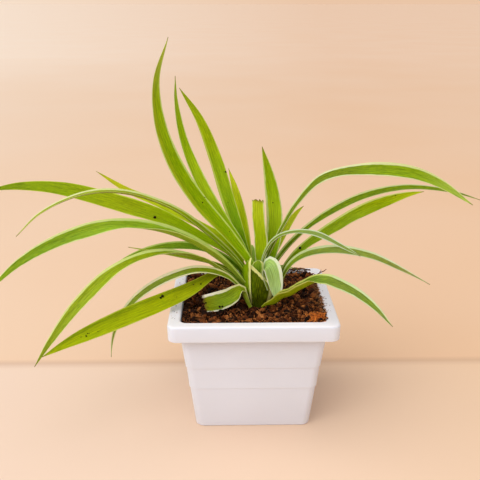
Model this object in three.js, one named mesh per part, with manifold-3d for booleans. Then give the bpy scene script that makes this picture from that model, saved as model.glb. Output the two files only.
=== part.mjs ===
// A young spider plant in a square, tapered white pot filled with dark coir soil.
// Millimetres, Z up. The origin is the middle of the pot's foot, on the surface it stands on.
// Every leaf is one blade swept along a path in its own upright plane through the crown.
import * as THREE from "three";
import { mergeVertices } from "three/addons/utils/BufferGeometryUtils.js";
import Module from "manifold-3d";

const wasm = await Module();
wasm.setup();

// Driving dimensions
const GAP = 0.3; // clearance between neighbouring pieces

const POT_HEIGHT = 87.5;
const RIM_HALF = 60; // half the outer width over the rim
const RIM_BAND = 12; // height of the band below the rim's top
const RIM_TOP = 8.7; // width of the flat top of the rim
const RIM_ROUND = 1.6;
const BAND_ROUND = 0.6; // rounding of the band's lower edges
const BAND_TAPER = 0.4; // how much narrower the band is at its lower edge, on each side
const BASE_HALF = 42; // half the width at the foot
const FOOT_ROUND = 1;
const BODY_HALF = 51.8; // half the width just under the rim band
const STEP_HEIGHTS = [33.5, 50.6]; // the two ledges moulded round the body
const STEP_OUT = 0.6;
const WALL = 2;
const FLOOR = 3.2;
const CORNER = 6;
const CORNER_STEPS = 4;
const DRAIN_RADIUS = 4;
const DRAIN_OFFSET = 21;
const DRAIN_SIDES = 12;

const SOIL_LEVEL = 83.6;
const SOIL_EDGE_DROP = 1.5; // how much lower the soil lies along the rim
const SOIL_WALL_GAP = 0.9; // room between the soil and the pot's wall
const SOIL_BUMP = 0.9;
const SOIL_ROLL = 6; // size of the soil's shallow lumps
const SOIL_SIDE_STEPS = 7;
const SOIL_RINGS = [47, 40, 33, 26, 19, 12, 5];
const CLUMP = { x: 43, y: -42, reach: 9, height: 4 }; // coir clump in the front right corner

const CROWN_X = 3;
const CROWN_Y = -9;
const CROWN_SIDES = 20;
const CROWN_LOBES = 5; // overlapping leaf sheaths seen round the bundle
const CROWN_LOBE_DEPTH = 0.07;
const CROWN_LOBE_TURN = 0.05; // radians of spiral for each millimetre of height

const BLADE_THICK = 0.7;
const BLADE_STATIONS = 16;
const BASE_SHARE = 0.6; // width at the base as a share of the full width, where the leaf gives none
const BASE_CURVE = 1.2;
const PEAK_AT = 0.4; // place of the full width along the blade, where the leaf gives none
const TIP_CURVE = 2.2; // how late the blade narrows towards its tip
const TIP_BLUNT = 0.9;
const TIP_HALF = 0.35;
const CUT_TAPER = 0.12; // share of the width that a cut blade loses by its end
const RIPPLE_LENGTH = 0.45; // share of the blade that a ragged edge covers

// Centre and half widths of the sheath bundle at each height. It leans to the left as it narrows.
const CROWN_SECTIONS = [
  { z: 70, x: 3, y: -9, rx: 4.5, ry: 4.5 },
  { z: 77, x: 3, y: -9, rx: 6, ry: 5.5 },
  { z: 84, x: 3, y: -9, rx: 6.5, ry: 6 },
  { z: 91, x: 3.4, y: -9, rx: 8, ry: 8 },
  { z: 97, x: 2.8, y: -9, rx: 7.6, ry: 8 },
  { z: 103, x: 1.6, y: -9, rx: 5.4, ry: 6 },
  { z: 108, x: 0, y: -9, rx: 2.6, ry: 3 },
];

// Fleshy roots: heading in degrees from +X, then points out from the crown and up from the foot.
const ROOTS = [
  { heading: 20, path: [[1, 78], [14, 66], [26, 44], [30, 22]] },
  { heading: 95, path: [[1, 78], [15, 60], [30, 46], [38, 34]] },
  { heading: 160, path: [[1, 78], [17, 68], [33, 52], [36, 30]] },
  { heading: 235, path: [[1, 78], [11, 60], [20, 40], [24, 18]] },
  { heading: 305, path: [[1, 78], [13, 64], [22, 48], [25, 28]] },
];
const ROOT_THICK = 2.3;
const ROOT_THIN = 1.1;
const ROOT_SIDES = 5;
const ROOT_STATIONS = 7;

// The leaves. heading: degrees from +X, so 180 is left and 270 is towards the front.
// path: points out from the crown's axis and up from the foot. twist: degrees of turn about the
// midrib at even steps along the blade. fold: degrees that each half is raised, at even steps. back:
// how far the base is set back from the crown's axis. base: share of the full width at the base.
// peak: place of the full width along the blade. end: pointed unless it says cut.
const LEAVES = {
  left_broad: {
    heading: 172, width: 14, back: 2.5, base: 0.45,
    fold: [40, 12, 5], twist: [0, -15, -45, -50, -70],
    path: [[6, 103], [18, 119], [42, 133], [71, 148], [110, 160], [146, 168], [177, 169], [203, 165]],
  },
  left_edge: {
    heading: 186, width: 9, back: -0.8, base: 0.45,
    fold: [50, 32, 20], twist: [-20, -20, -3, -8, -25],
    path: [[6, 103], [12, 115], [35, 139], [62, 160], [96, 172], [124, 171], [152, 159], [170, 143]],
  },
  left_arch: {
    heading: 196, width: 12.5, back: -1.6, base: 0.45, peak: 0.3,
    fold: [50, 58, 58, 40, 12, 6, 6], twist: [-8, -8, -12, -30, -66, -68, -50],
    path: [[4, 95], [28, 121], [57, 141], [85, 151], [112, 153], [139, 147], [166, 134], [190, 114]],
  },
  left_dark: {
    heading: 162, width: 10, back: 4.2, base: 0.45,
    fold: [45, 20, 10], twist: [0, -10, -20, -25, -20],
    path: [[4, 93], [16, 110], [44, 122], [76, 120], [104, 109], [128, 93]],
  },
  left_droop: {
    heading: 202, width: 11, back: 4.5, base: 0.22, peak: 0.5,
    fold: [46, 22, 8], twist: [0, 12, -10, -50, -55],
    path: [
      [3, 87], [12, 97], [25, 110], [44, 124], [73, 132], [102, 126], [131, 105], [152, 81],
      [164, 64],
    ],
  },
  left_sliver: {
    heading: 178, width: 6, back: 2.2, base: 0.45,
    fold: [45, 20, 10], twist: [0, 0, -5],
    path: [[4, 96], [25, 112], [60, 121], [94, 128]],
  },
  front_left_thin: {
    heading: 195, width: 6.8, back: -4.5, base: 0.55,
    fold: [44, 20, 10, 6, 6], twist: [-25, -40, -52, -48, -30],
    path: [
      [6.3, 90.9], [10.1, 96.8], [15.5, 102.7], [20.7, 107.9], [28.2, 112.4], [36.4, 115.2],
      [47.6, 116.4], [59.2, 114.3], [70.7, 110.4], [82.3, 104.2], [92, 96.4], [101, 84.8],
      [106, 74.1], [108.2, 64.9], [109.3, 54.6],
    ],
  },
  front_left_broad: {
    heading: 203, width: 13.5, back: 10.05, base: 0.28, peak: 0.6,
    fold: [60, 40, 6, 6, 6, 6], twist: [-10, -30, -50, -45, -40, -25],
    path: [
      [7.8, 87.2], [12.8, 93.9], [19.3, 101.1], [25.7, 106.6], [32.1, 108.5], [39.2, 105.8],
      [47.8, 102.4], [57.1, 99.6], [75.3, 95.1], [97.4, 89.9], [118.9, 84.5], [139.8, 78.6],
      [158.8, 71.7],
    ],
  },
  front_left_creased: {
    heading: 202, width: 14.2, back: -10.5, base: 0.32, peak: 0.75, end: "cut", stations: 20,
    fold: [65, 60, 15, 5, 5], twist: [0, -20, -65, -70, -70],
    path: [
      [5.7, 86], [8.5, 91], [11, 96.3], [12.7, 99.2], [16.2, 97.8], [22.5, 94.3], [31.5, 91.5],
      [42.1, 90.1],
    ],
  },
  tall_left: {
    heading: 180, width: 12, back: -1,
    fold: [45, 14, 8], twist: [-45, -60, -62, -45, -35],
    path: [[2, 104], [5, 115], [20, 137], [42, 164], [59, 193], [68, 221], [69, 249], [60, 277]],
  },
  tall_second: {
    heading: 165, width: 9, back: 1.5, base: 0.45,
    fold: [45, 12, 8], twist: [-45, -55, -50, -32, -25],
    path: [[3, 104], [11, 127], [25, 147], [42, 176], [54, 205], [59, 233], [59, 250]],
  },
  tall_third: {
    heading: 150, width: 10.5, back: 4, base: 0.45,
    fold: [45, 12, 8], twist: [-30, -40, -45, -50, -60],
    path: [[3, 106], [13, 132], [24, 161], [34, 190], [47, 218], [64, 240]],
  },
  tall_short: {
    heading: 115, width: 8, back: 4,
    fold: [45, 15, 8], twist: [-60, -60, -45, -25],
    path: [[4, 100], [15, 130], [30, 157], [47, 178]],
  },
  cut_upright: {
    heading: 60, width: 11, back: 0.6, base: 0.45, end: "cut",
    fold: [40, 8, 4], twist: [0, 0, 0],
    path: [[5, 104], [8.5, 117], [8, 132], [4, 148], [2, 164.5]],
  },
  upright_right: {
    heading: 40, width: 12.5, back: 1, base: 0.45,
    fold: [45, 12, 8], twist: [20, 30, 35, 35, 30],
    path: [[6, 97], [14, 115], [18, 132], [18, 152], [13, 177], [5, 202]],
  },
  back_right_small: {
    heading: 52, width: 7, back: 5,
    fold: [45, 15, 8], twist: [0, 0, 10, 50],
    path: [[3, 95], [18, 111], [38, 131], [53, 142], [64, 146]],
  },
  right_high: {
    heading: 352, width: 10.5, back: 2.4, base: 0.2, peak: 0.6,
    fold: [45, 12, 8], twist: [30, 20, 27, 70, 55],
    path: [
      [3.1, 102.6], [9.4, 121.2], [18.7, 141.4], [30.7, 163.1], [47.2, 180.9], [76, 187.9],
      [107, 187], [126.9, 180.1], [151, 165],
    ],
  },
  right_middle: {
    heading: 8, width: 9, back: -1,
    fold: [45, 14, 8], twist: [15, 8, 18, 20, 25],
    path: [[4, 94], [19, 121], [41, 143], [75, 162], [110, 169], [146, 165], [172, 157]],
  },
  right_broad: {
    heading: 22, width: 11, back: 3, base: 0.45, peak: 0.5,
    fold: [45, 12, 8], twist: [5, 13, 28, 60, 35],
    path: [
      [13.5, 91.5], [20.9, 101.8], [27.4, 110.6], [34, 117.4], [41.5, 122.9], [51.6, 128.8],
      [66, 136], [83.2, 143.7], [100.8, 149.5], [118.8, 153.4], [132.6, 155.4], [145.7, 156.2],
    ],
  },
  right_grey: {
    heading: 335, width: 6.5, back: 1.5, base: 0.2,
    fold: [45, 20, 10], twist: [30, 30, 10, 30, 50],
    path: [
      [2.6, 100.6], [4.6, 115], [12.1, 132.6], [23.1, 141.1], [43.7, 144.1], [66.5, 136.8],
      [78.1, 132],
    ],
  },
  right_low: {
    heading: 345, width: 8, base: 0.4,
    fold: [50, 25, 12, 12], twist: [25, 30, 35, 32, 12],
    path: [
      [8.8, 86.2], [12.4, 91], [17.1, 98.7], [21.1, 107], [24.3, 113.9], [29, 120], [36.2, 125.2],
      [46.9, 129.1], [59.7, 131.1], [71.8, 130.5], [86, 127.8], [103.7, 120.7], [117.9, 114.1],
      [125, 110.7],
    ],
  },
  front_right_low: {
    heading: 325, width: 11.6, back: -7.3, base: 0.2, peak: 0.16, stations: 30,
    ripple: { size: 0.8, waves: 7 },
    fold: [72, 71, 70, 68, 66, 20, 8, 8, 8, 8, 8], twist: [0, 4, 12, 19, 22, 28, 32, 34, 38, 42, 46],
    path: [
      [5.2, 85], [12.1, 88.2], [20.6, 93.8], [28.9, 99.1], [37, 104.8], [44.9, 110.5], [50.4, 113.8],
      [55.1, 115.5], [60.6, 116.1], [68.4, 114.8], [76.1, 112.9], [83.8, 110], [91.4, 106.1],
      [99.1, 100.8], [105.3, 95.2], [109.1, 92.1],
    ],
  },
  front_pale: {
    heading: 322, width: 13.4, back: -3.1, base: 0.15, peak: 0.42, stations: 20,
    fold: [45, 20, 8], twist: [26, 26, 38, 50, 52, 52],
    path: [
      [10.9, 98.4], [10, 105.9], [9.2, 111.8], [9.2, 115.4], [10.7, 117.7], [13, 116.9],
      [15.4, 112.5], [17, 106.9], [18.2, 100.9], [19, 94.6], [19.3, 88.7],
    ],
  },
  front_young: {
    heading: 280, width: 8.6, base: 0.6, peak: 0.8,
    fold: [12, 8, 5, 5], twist: [0, 0, 0, 0],
    path: [[5.8, 101], [6.1, 107.5], [6.4, 113.5], [6.8, 118], [7.4, 120.8]],
  },
  back_left: {
    heading: 152, width: 8, back: 8.6, base: 0.45,
    fold: [45, 15, 8], twist: [0, -15, -30, -55],
    path: [[5, 97], [14, 114], [30, 129], [56, 140], [83, 150], [112, 158], [142, 171]],
  },
  back_low_left: {
    heading: 130, width: 10, back: 2, base: 0.45,
    fold: [45, 15, 8], twist: [0, 0, 10, 10],
    path: [[3, 86], [20, 96.5], [38, 100], [55, 97.5], [68, 92]],
  },
  back_low_middle: {
    heading: 94, width: 11, back: 0.4, base: 0.35,
    fold: [45, 15, 8], twist: [0, -8, -10, 0],
    path: [[5, 88], [20, 100], [45, 107], [78, 103], [110, 84], [126, 66]],
  },
  back_low_right: {
    heading: 50, width: 10, back: 2.4, base: 0.3,
    fold: [45, 15, 8], twist: [0, 5, 8, 0],
    path: [[3.5, 88], [14, 97], [28, 102], [42, 101], [56, 95]],
  },
};

// Materials
const potPlastic = new THREE.MeshStandardMaterial({ color: 0xf4f2f0, roughness: 0.38, metalness: 0 });
const soilCoir = new THREE.MeshStandardMaterial({ color: 0x4a2817, roughness: 0.95, metalness: 0 });
const sheathGreen = new THREE.MeshStandardMaterial({ color: 0x5d7a1e, roughness: 0.5, metalness: 0 });
const leafGreen = new THREE.MeshStandardMaterial({
  color: 0x76981c,
  roughness: 0.42,
  metalness: 0,
  side: THREE.DoubleSide,
});

// Meshes and solids

function geometryOf(points, indices) {
  const positions = new Float32Array(points.length * 3);
  points.forEach((point, i) => point.toArray(positions, i * 3));
  const geometry = new THREE.BufferGeometry();
  geometry.setAttribute("position", new THREE.BufferAttribute(positions, 3));
  geometry.setIndex(indices);
  return geometry;
}

function solidOf(geometry) {
  const bare = geometry.clone();
  bare.deleteAttribute("normal");
  bare.deleteAttribute("uv");
  const merged = mergeVertices(bare, 1e-4);
  return new wasm.Manifold(
    new wasm.Mesh({
      numProp: 3,
      vertProperties: new Float32Array(merged.attributes.position.array),
      triVerts: new Uint32Array(merged.index.array),
    }),
  );
}

function geometryFrom(solid) {
  const mesh = solid.getMesh();
  const geometry = new THREE.BufferGeometry();
  geometry.setAttribute("position", new THREE.BufferAttribute(mesh.vertProperties, 3));
  geometry.setIndex(new THREE.BufferAttribute(mesh.triVerts, 1));
  geometry.computeVertexNormals();
  return geometry;
}

// The largest of the bodies that a cut leaves.
function mainBody(solid) {
  return solid.decompose().reduce((best, body) => (body.volume() > best.volume() ? body : best));
}

// Walls between rings of equally many points, counter-clockwise as seen from the last ring.
// In the strips named by turned, each quad is split along its other diagonal.
function stitch(rings, turned = []) {
  const points = rings.flat();
  const count = rings[0].length;
  const indices = [];
  for (let i = 0; i + 1 < rings.length; i++) {
    for (let j = 0; j < count; j++) {
      const a = i * count + j;
      const b = i * count + ((j + 1) % count);
      const c = b + count;
      const d = a + count;
      if (turned.includes(j)) indices.push(a, b, d, b, c, d);
      else indices.push(a, b, c, a, c, d);
    }
  }
  return { points, indices, count };
}

// A closed loft whose two ends are fans round their middles.
function loft(rings) {
  const { points, indices, count } = stitch(rings);
  const last = (rings.length - 1) * count;
  const middle = (ring) =>
    ring.reduce((sum, point) => sum.add(point), new THREE.Vector3()).divideScalar(count);
  const start = points.push(middle(rings[0])) - 1;
  const end = points.push(middle(rings[rings.length - 1])) - 1;
  for (let j = 0; j < count; j++) {
    const next = (j + 1) % count;
    indices.push(start, next, j, end, last + j, last + next);
  }
  return geometryOf(points, indices);
}

// A square ring with rounded corners; sideSteps splits each straight side.
function squareRing(half, z, corner = CORNER, sideSteps = 1, height = () => 0) {
  const ring = [];
  const inset = half - corner;
  for (let side = 0; side < 4; side++) {
    const turn = (side * Math.PI) / 2;
    const place = (x, y) => {
      const px = x * Math.cos(turn) - y * Math.sin(turn);
      const py = x * Math.sin(turn) + y * Math.cos(turn);
      ring.push(new THREE.Vector3(px, py, z + height(px, py)));
    };
    for (let k = 1; k < sideSteps; k++) place(half, inset * ((2 * k) / sideSteps - 1));
    for (let k = 0; k <= CORNER_STEPS; k++) {
      const angle = (k / CORNER_STEPS) * (Math.PI / 2);
      place(inset + corner * Math.cos(angle), inset + corner * Math.sin(angle));
    }
  }
  return ring;
}

// Pot

// Half the outer width of the body at a height, without the ledges.
function bodyHalf(z) {
  const top = POT_HEIGHT - RIM_BAND;
  return BASE_HALF + ((BODY_HALF - BASE_HALF) * z) / top;
}

function potGeometry() {
  const band = POT_HEIGHT - RIM_BAND;
  const innerTop = RIM_HALF - RIM_TOP;
  const lipInner = RIM_HALF - WALL;
  const roundMiddle = (1 - Math.SQRT1_2) * RIM_ROUND;
  const outline = [[BASE_HALF - FOOT_ROUND, 0], [BASE_HALF, FOOT_ROUND]];
  for (const step of STEP_HEIGHTS) {
    outline.push([bodyHalf(step) - STEP_OUT, step - STEP_OUT], [bodyHalf(step), step]);
  }
  outline.push(
    [BODY_HALF, band],
    [BODY_HALF, POT_HEIGHT - WALL],
    [lipInner, POT_HEIGHT - WALL],
    [lipInner, band + BAND_ROUND],
    [lipInner + BAND_ROUND, band],
    [RIM_HALF - BAND_TAPER - BAND_ROUND, band],
    [RIM_HALF - BAND_TAPER, band + BAND_ROUND],
    [RIM_HALF, POT_HEIGHT - RIM_ROUND],
    [RIM_HALF - roundMiddle, POT_HEIGHT - roundMiddle],
    [RIM_HALF - RIM_ROUND, POT_HEIGHT],
    [innerTop + RIM_ROUND, POT_HEIGHT],
    [innerTop + roundMiddle, POT_HEIGHT - roundMiddle],
    [innerTop, POT_HEIGHT - RIM_ROUND],
    [BODY_HALF - WALL, band],
    [BASE_HALF - WALL, FLOOR],
  );
  let solid = solidOf(loft(outline.map(([half, z]) => squareRing(half, z))));
  for (const x of [-DRAIN_OFFSET, DRAIN_OFFSET]) {
    for (const y of [-DRAIN_OFFSET, DRAIN_OFFSET]) {
      const hole = new THREE.CylinderGeometry(DRAIN_RADIUS, DRAIN_RADIUS, 4 * FLOOR, DRAIN_SIDES);
      hole.rotateX(Math.PI / 2).translate(x, y, 0);
      solid = solid.subtract(solidOf(hole));
    }
  }
  return geometryFrom(solid);
}

// Curves

function radians(degrees) {
  return (degrees * Math.PI) / 180;
}

// Value at a place along a blade from knots at even steps, eased between them.
function eased(knots, along) {
  const place = along * (knots.length - 1);
  const i = Math.min(Math.floor(place), knots.length - 2);
  const t = place - i;
  return knots[i] + (knots[i + 1] - knots[i]) * t * t * (3 - 2 * t);
}

// Stations along a path in the upright plane at a heading through the crown's axis: the point,
// the level sideways direction and the upward direction square to the path.
function stations(heading, path, count) {
  const out = new THREE.Vector3(Math.cos(radians(heading)), Math.sin(radians(heading)), 0);
  const side = new THREE.Vector3(-out.y, out.x, 0);
  const knots = path.map(([reach, up]) => new THREE.Vector3(reach, up, 0));
  const spaced = new THREE.CatmullRomCurve3(knots, false, "centripetal").getSpacedPoints(count);
  return spaced.map((point, i) => {
    const before = spaced[Math.max(i - 1, 0)];
    const after = spaced[Math.min(i + 1, count)];
    const run = after.clone().sub(before).normalize();
    return {
      along: i / count,
      point: new THREE.Vector3(CROWN_X, CROWN_Y, point.y).addScaledVector(out, point.x),
      side,
      up: new THREE.Vector3(0, 0, run.x).addScaledVector(out, -run.y),
    };
  });
}

// Crown and roots

function crownRing(section, extra) {
  const ring = [];
  for (let k = 0; k < CROWN_SIDES; k++) {
    const angle = (2 * Math.PI * k) / CROWN_SIDES;
    const lobe = 1 + CROWN_LOBE_DEPTH * Math.cos(CROWN_LOBES * (angle + CROWN_LOBE_TURN * section.z));
    ring.push(
      new THREE.Vector3(
        section.x + (section.rx * lobe + extra) * Math.cos(angle),
        section.y + (section.ry * lobe + extra) * Math.sin(angle),
        section.z,
      ),
    );
  }
  return ring;
}

function rootGeometry(root, extra) {
  const rings = stations(root.heading, root.path, ROOT_STATIONS).map(({ along, point, side, up }) => {
    const radius = ROOT_THICK + (ROOT_THIN - ROOT_THICK) * along + extra;
    const ring = [];
    for (let k = 0; k < ROOT_SIDES; k++) {
      const angle = (2 * Math.PI * k) / ROOT_SIDES;
      ring.push(
        point
          .clone()
          .addScaledVector(side, radius * Math.cos(angle))
          .addScaledVector(up, radius * Math.sin(angle)),
      );
    }
    return ring;
  });
  return loft(rings);
}

// The sheath bundle with its roots. extra grows it on every side, for the room it needs.
function crownSolid(extra) {
  const sections = CROWN_SECTIONS.map((section) => ({ ...section }));
  sections[0].z -= extra;
  sections[sections.length - 1].z += extra;
  const bundle = solidOf(loft(sections.map((section) => crownRing(section, extra))));
  return ROOTS.reduce((solid, root) => solid.add(solidOf(rootGeometry(root, extra))), bundle);
}

// Soil

function soilHeight(x, y) {
  const rolling = Math.sin(x / SOIL_ROLL) * Math.cos(y / SOIL_ROLL + x / (2 * SOIL_ROLL));
  const distance = Math.hypot(x - CLUMP.x, y - CLUMP.y) / CLUMP.reach;
  return SOIL_BUMP * rolling + CLUMP.height * Math.max(0, 1 - distance * distance);
}

function soilGeometry(room) {
  const band = POT_HEIGHT - RIM_BAND;
  const side = (half, z) => squareRing(half - SOIL_WALL_GAP, z, CORNER, SOIL_SIDE_STEPS);
  const rings = [
    side(bodyHalf(FLOOR) - WALL, FLOOR + GAP),
    side(BODY_HALF - WALL, band),
    side(RIM_HALF - RIM_TOP, SOIL_LEVEL - SOIL_EDGE_DROP),
  ];
  for (const half of SOIL_RINGS) {
    rings.push(squareRing(half, SOIL_LEVEL, Math.min(CORNER, half / 2), SOIL_SIDE_STEPS, soilHeight));
  }
  return geometryFrom(mainBody(solidOf(loft(rings)).subtract(room)));
}

// Leaves

function halfWidth(leaf, along) {
  const peak = leaf.peak ?? PEAK_AT;
  const base = leaf.base ?? BASE_SHARE;
  let share;
  if (along < peak) {
    const rise = Math.sin(((along / peak) * Math.PI) / 2) ** BASE_CURVE;
    share = base + (1 - base) * rise;
  } else {
    const past = (along - peak) / (1 - peak);
    share = leaf.end === "cut" ? 1 - CUT_TAPER * past * past : (1 - past ** TIP_CURVE) ** TIP_BLUNT;
  }
  return Math.max((leaf.width / 2) * share, TIP_HALF);
}

// One section of a blade: right edge, midrib and left edge on the upper face, then back below.
function bladeRing(leaf, { along, point, side, up }) {
  const twist = radians(eased(leaf.twist, along));
  const fold = radians(eased(leaf.fold, along));
  const across = side.clone().multiplyScalar(Math.cos(twist)).addScaledVector(up, Math.sin(twist));
  const face = up.clone().multiplyScalar(Math.cos(twist)).addScaledVector(side, -Math.sin(twist));
  const half = halfWidth(leaf, along);
  const middle = point.clone();
  middle.y += (leaf.back ?? 0) * (1 - along);
  const ripple = leaf.ripple
    ? leaf.ripple.size *
      Math.sin(2 * Math.PI * leaf.ripple.waves * along) *
      Math.max(0, 1 - along / RIPPLE_LENGTH)
    : 0;
  const edge = (sign) =>
    middle
      .clone()
      .addScaledVector(across, sign * half * Math.cos(fold))
      .addScaledVector(face, half * Math.sin(fold) + ripple);
  const below = (sign) =>
    edge(sign)
      .addScaledVector(across, sign * BLADE_THICK * Math.sin(fold))
      .addScaledVector(face, -BLADE_THICK * Math.cos(fold));
  const keel = middle.clone().addScaledVector(face, -BLADE_THICK / Math.cos(fold));
  return [edge(1), middle, edge(-1), below(-1), keel, below(1)];
}

function bladeSolid(leaf) {
  const places = stations(leaf.heading, leaf.path, leaf.stations ?? BLADE_STATIONS);
  const rings = places.map((place) => bladeRing(leaf, place));
  const { points, indices, count } = stitch(rings, [3, 4]);
  const last = (rings.length - 1) * count;
  for (const [a, b, c, d] of [[0, 1, 4, 5], [1, 2, 3, 4]]) {
    indices.push(a, c, b, a, d, c);
    indices.push(last + a, last + b, last + c, last + a, last + c, last + d);
  }
  return solidOf(geometryOf(points, indices));
}

// The plant in its pot

const plant = new THREE.Group();

function addPiece(name, geometry, material) {
  const mesh = new THREE.Mesh(geometry, material);
  mesh.name = name;
  plant.add(mesh);
}

const crown = crownSolid(0);
const crownRoom = crownSolid(GAP);
addPiece("pot", potGeometry(), potPlastic);
addPiece("soil", soilGeometry(crownRoom), soilCoir);
addPiece("crown", geometryFrom(crown), sheathGreen);
for (const [name, leaf] of Object.entries(LEAVES)) {
  const blade = mainBody(bladeSolid(leaf).subtract(crownRoom));
  addPiece("leaf_" + name, geometryFrom(blade), leafGreen);
}

export default plant;
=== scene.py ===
"""A young spider plant in a square white planter.

The planter, the coir soil, the sheathed crown and every leaf are built here in metres, in the
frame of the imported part: the origin is the middle of the planter's foot and +Z is up.
"""

import math
from types import SimpleNamespace

import bpy
import numpy as np
from bpy.props import FloatProperty, FloatVectorProperty, IntProperty, PointerProperty
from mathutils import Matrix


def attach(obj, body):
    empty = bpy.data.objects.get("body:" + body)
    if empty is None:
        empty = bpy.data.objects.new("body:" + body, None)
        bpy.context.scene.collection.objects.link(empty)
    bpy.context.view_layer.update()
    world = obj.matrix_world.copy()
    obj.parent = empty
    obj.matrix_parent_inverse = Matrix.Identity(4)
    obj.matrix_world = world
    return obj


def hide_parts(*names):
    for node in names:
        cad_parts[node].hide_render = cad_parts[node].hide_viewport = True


bl_info = {
    "name": "Potted Spider Plant",
    "version": (1, 0, 0),
    "blender": (4, 5, 0),
    "location": "3D View > Sidebar > Spider Plant",
    "description": "Builds a young spider plant in a square planter filled with coir soil",
    "category": "Add Mesh",
}

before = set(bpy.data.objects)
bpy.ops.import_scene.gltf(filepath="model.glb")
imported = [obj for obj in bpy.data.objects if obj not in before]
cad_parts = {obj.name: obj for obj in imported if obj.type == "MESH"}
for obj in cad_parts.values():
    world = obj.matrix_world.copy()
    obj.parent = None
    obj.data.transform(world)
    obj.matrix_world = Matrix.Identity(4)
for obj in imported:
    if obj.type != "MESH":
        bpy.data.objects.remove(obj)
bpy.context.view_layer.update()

MM = 0.001
FULL_TURN = 2 * math.pi

# The planter's small shapes (mm).
FOOT_ROUND, LEDGE_ROUND, LIP_ROUND, BAND_ROUND = 1, 0.35, 0.6, 0.9
LEDGE_UNDERSIDE = [(0.6, 1.0), (0.56, 0.7)]  # distance in from the side, and below the ledge
LEDGE_EDGE = 0.2  # how far below the ledge the middle of its rounding lies
BAND_TAPER = 0.3  # how much narrower the rim band is at its lower edge, on each side
DRAIN_OFFSET, DRAIN_RADIUS = 21, 4
DRILL_LOW, DRILL_HIGH = -4, 8  # heights from which and to which the drain holes are drilled
PLASTIC_SHARP = 38  # edges of the plastic sharper than this many degrees aren't smoothed

# The soil (mm): half widths of its top and its underside, and the height of the underside.
SOIL_EDGE, SOIL_FOOT, SOIL_FLOOR = 50.9, 39.1, 3.5
FILLING_DROP, CRUMB_DROP = 1, 0.2  # how far the filling and what is strewn lie below the level
BANK_START, BANK_END, BANK_TOP = 42, 50.5, 2.7  # where it banks up along the walls
# The mound under the coir clump, and the clump's own bulge over it (mm).
MOUND = {"x": 43, "y": -42, "reach": 9, "height": 4}
TUFT = {"x": 44.5, "y": -43.5, "reach": 6.5, "height": 1.6}

# The crown's axis, and the height, centre and half widths of its bundle from the soil up (mm).
CROWN_X, CROWN_Y = 3, -9
CROWN_SECTIONS = [
    (70, 3, -9, 4.5, 4.5), (77, 3, -9, 6, 5.5), (84, 3, -9, 6.5, 6), (91, 3.4, -9, 8, 8),
    (97, 2.8, -9, 7.6, 8), (103, 1.6, -9, 5.4, 6), (108, 0, -9, 2.6, 3),
]
CROWN_LOBES, CROWN_LOBE_DEPTH = 5, 0.07
CROWN_LOBE_TURN = 0.05  # radians of spiral for each millimetre of height

# Fleshy roots: heading, then points out from the crown's axis and up from the foot (mm).
ROOTS = [
    (20, [(1, 78), (14, 66), (26, 44), (30, 22)]),
    (95, [(1, 78), (15, 60), (30, 46), (38, 34)]),
    (160, [(1, 78), (17, 68), (33, 52), (36, 30)]),
    (235, [(1, 78), (11, 60), (20, 40), (24, 18)]),
    (305, [(1, 78), (13, 64), (22, 48), (25, 28)]),
]
ROOT_STEPS, ROOT_THICK, ROOT_THIN = 18, 2.3, 1.1

# Sheaths that clasp the crown, inside to outside. angles: degrees round the crown, from its fixed
# to its free edge. top: heights of the upper edge at even steps between them (mm). out: how far
# it lies outside the bundle. shift: how far its centre lies right of the crown's axis. green:
# colours at even steps. margin: width of its pale edge. pale: side if only its free side edge is
# pale, both if its upper edge is too.
SHEATHS = [
    dict(
        angles=(40, 175), top=[106, 112, 114, 112, 106], out=-0.6, shift=0,
        green="#5c7c0c #6c900c #5c800c", margin=1.0, pale="both",
    ),
    dict(
        angles=(95, -25), top=[104, 108, 109, 105, 98], out=-0.3, shift=0,
        green="#5c7a0c #6c880c #66780c", margin=1.0, pale="both",
    ),
    dict(
        angles=(-270, -114), top=[102, 106, 109, 111, 113, 117.5, 123], out=0.2, shift=0,
        green="#64900c #7ca80c #8cb40e #86a80c", margin=0.9, pale="side",
    ),
    # The outer sheath's dark middle greens are painted shade over its own olive green.
    dict(
        angles=(-147, -30), out=1.0, shift=3.0,
        top=[119.8, 118.3, 116.8, 115.1, 112.8, 109.9, 106.5, 102.6, 97.8, 93.3],
        green="#5a780a #4f680a #2c3c06 #38480a #6c7c0a #869010", margin=3.2, pale="both",
    ),
]
SHEATH_FOOT, SHEATH_WALL = 79, 0.5
SHEATH_REACH = 16  # distance of a sheath's fixed edge from its free one (mm)
FLARE_FADE = 2.2  # distance from a free edge over which it bends back to the bundle (mm)
EDGE_REACH = 8  # how far from a sheath's edge its place is told to the material (mm)
# Heights over which the painted shade that darkens the crown's foot fades to green, and the painted shade
# that dulls its edges fades to pale (mm).
FOOT_SHADE_FADE, EDGE_SHADE_FADE = (84, 104), (82, 94)

# Radius of the sheath bundle at each height (mm).
BUNDLE = [
    (70, 4.5), (78, 4.8), (84, 5.2), (88, 6.6), (92, 8.2), (97, 9.2), (104, 9.7), (112, 10),
    (119, 9.8), (125, 7.5),
]

# The leaves. heading: degrees from +X, so 180 is left and 270 is towards the front. path: points
# out from the crown's axis and up from the foot (mm). twist: degrees of turn about the midrib at
# even steps. fold: degrees that each half is raised. back: how far the base is set back (mm).
# base: share of the width at the base. peak: place of the full width. end: pointed or torn. tip:
# how brown the tip is. ripple: height and number of waves near the base. under: colour of the
# back. green, pale: colours of the blade and of its edges at even steps. margin: share of each
# half that is pale, on the half that starts lower in the twist and on the other one, each one
# number or numbers at even steps. stripe: from and to across the blade, its colour and strength.
# PLAIN_LEAF holds what a leaf has unless it says otherwise.
PLAIN_LEAF = dict(base=0.45, peak=0.4, end="pointed", tip=0.75, ripple=None, under=None, stripe=None)

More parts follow.
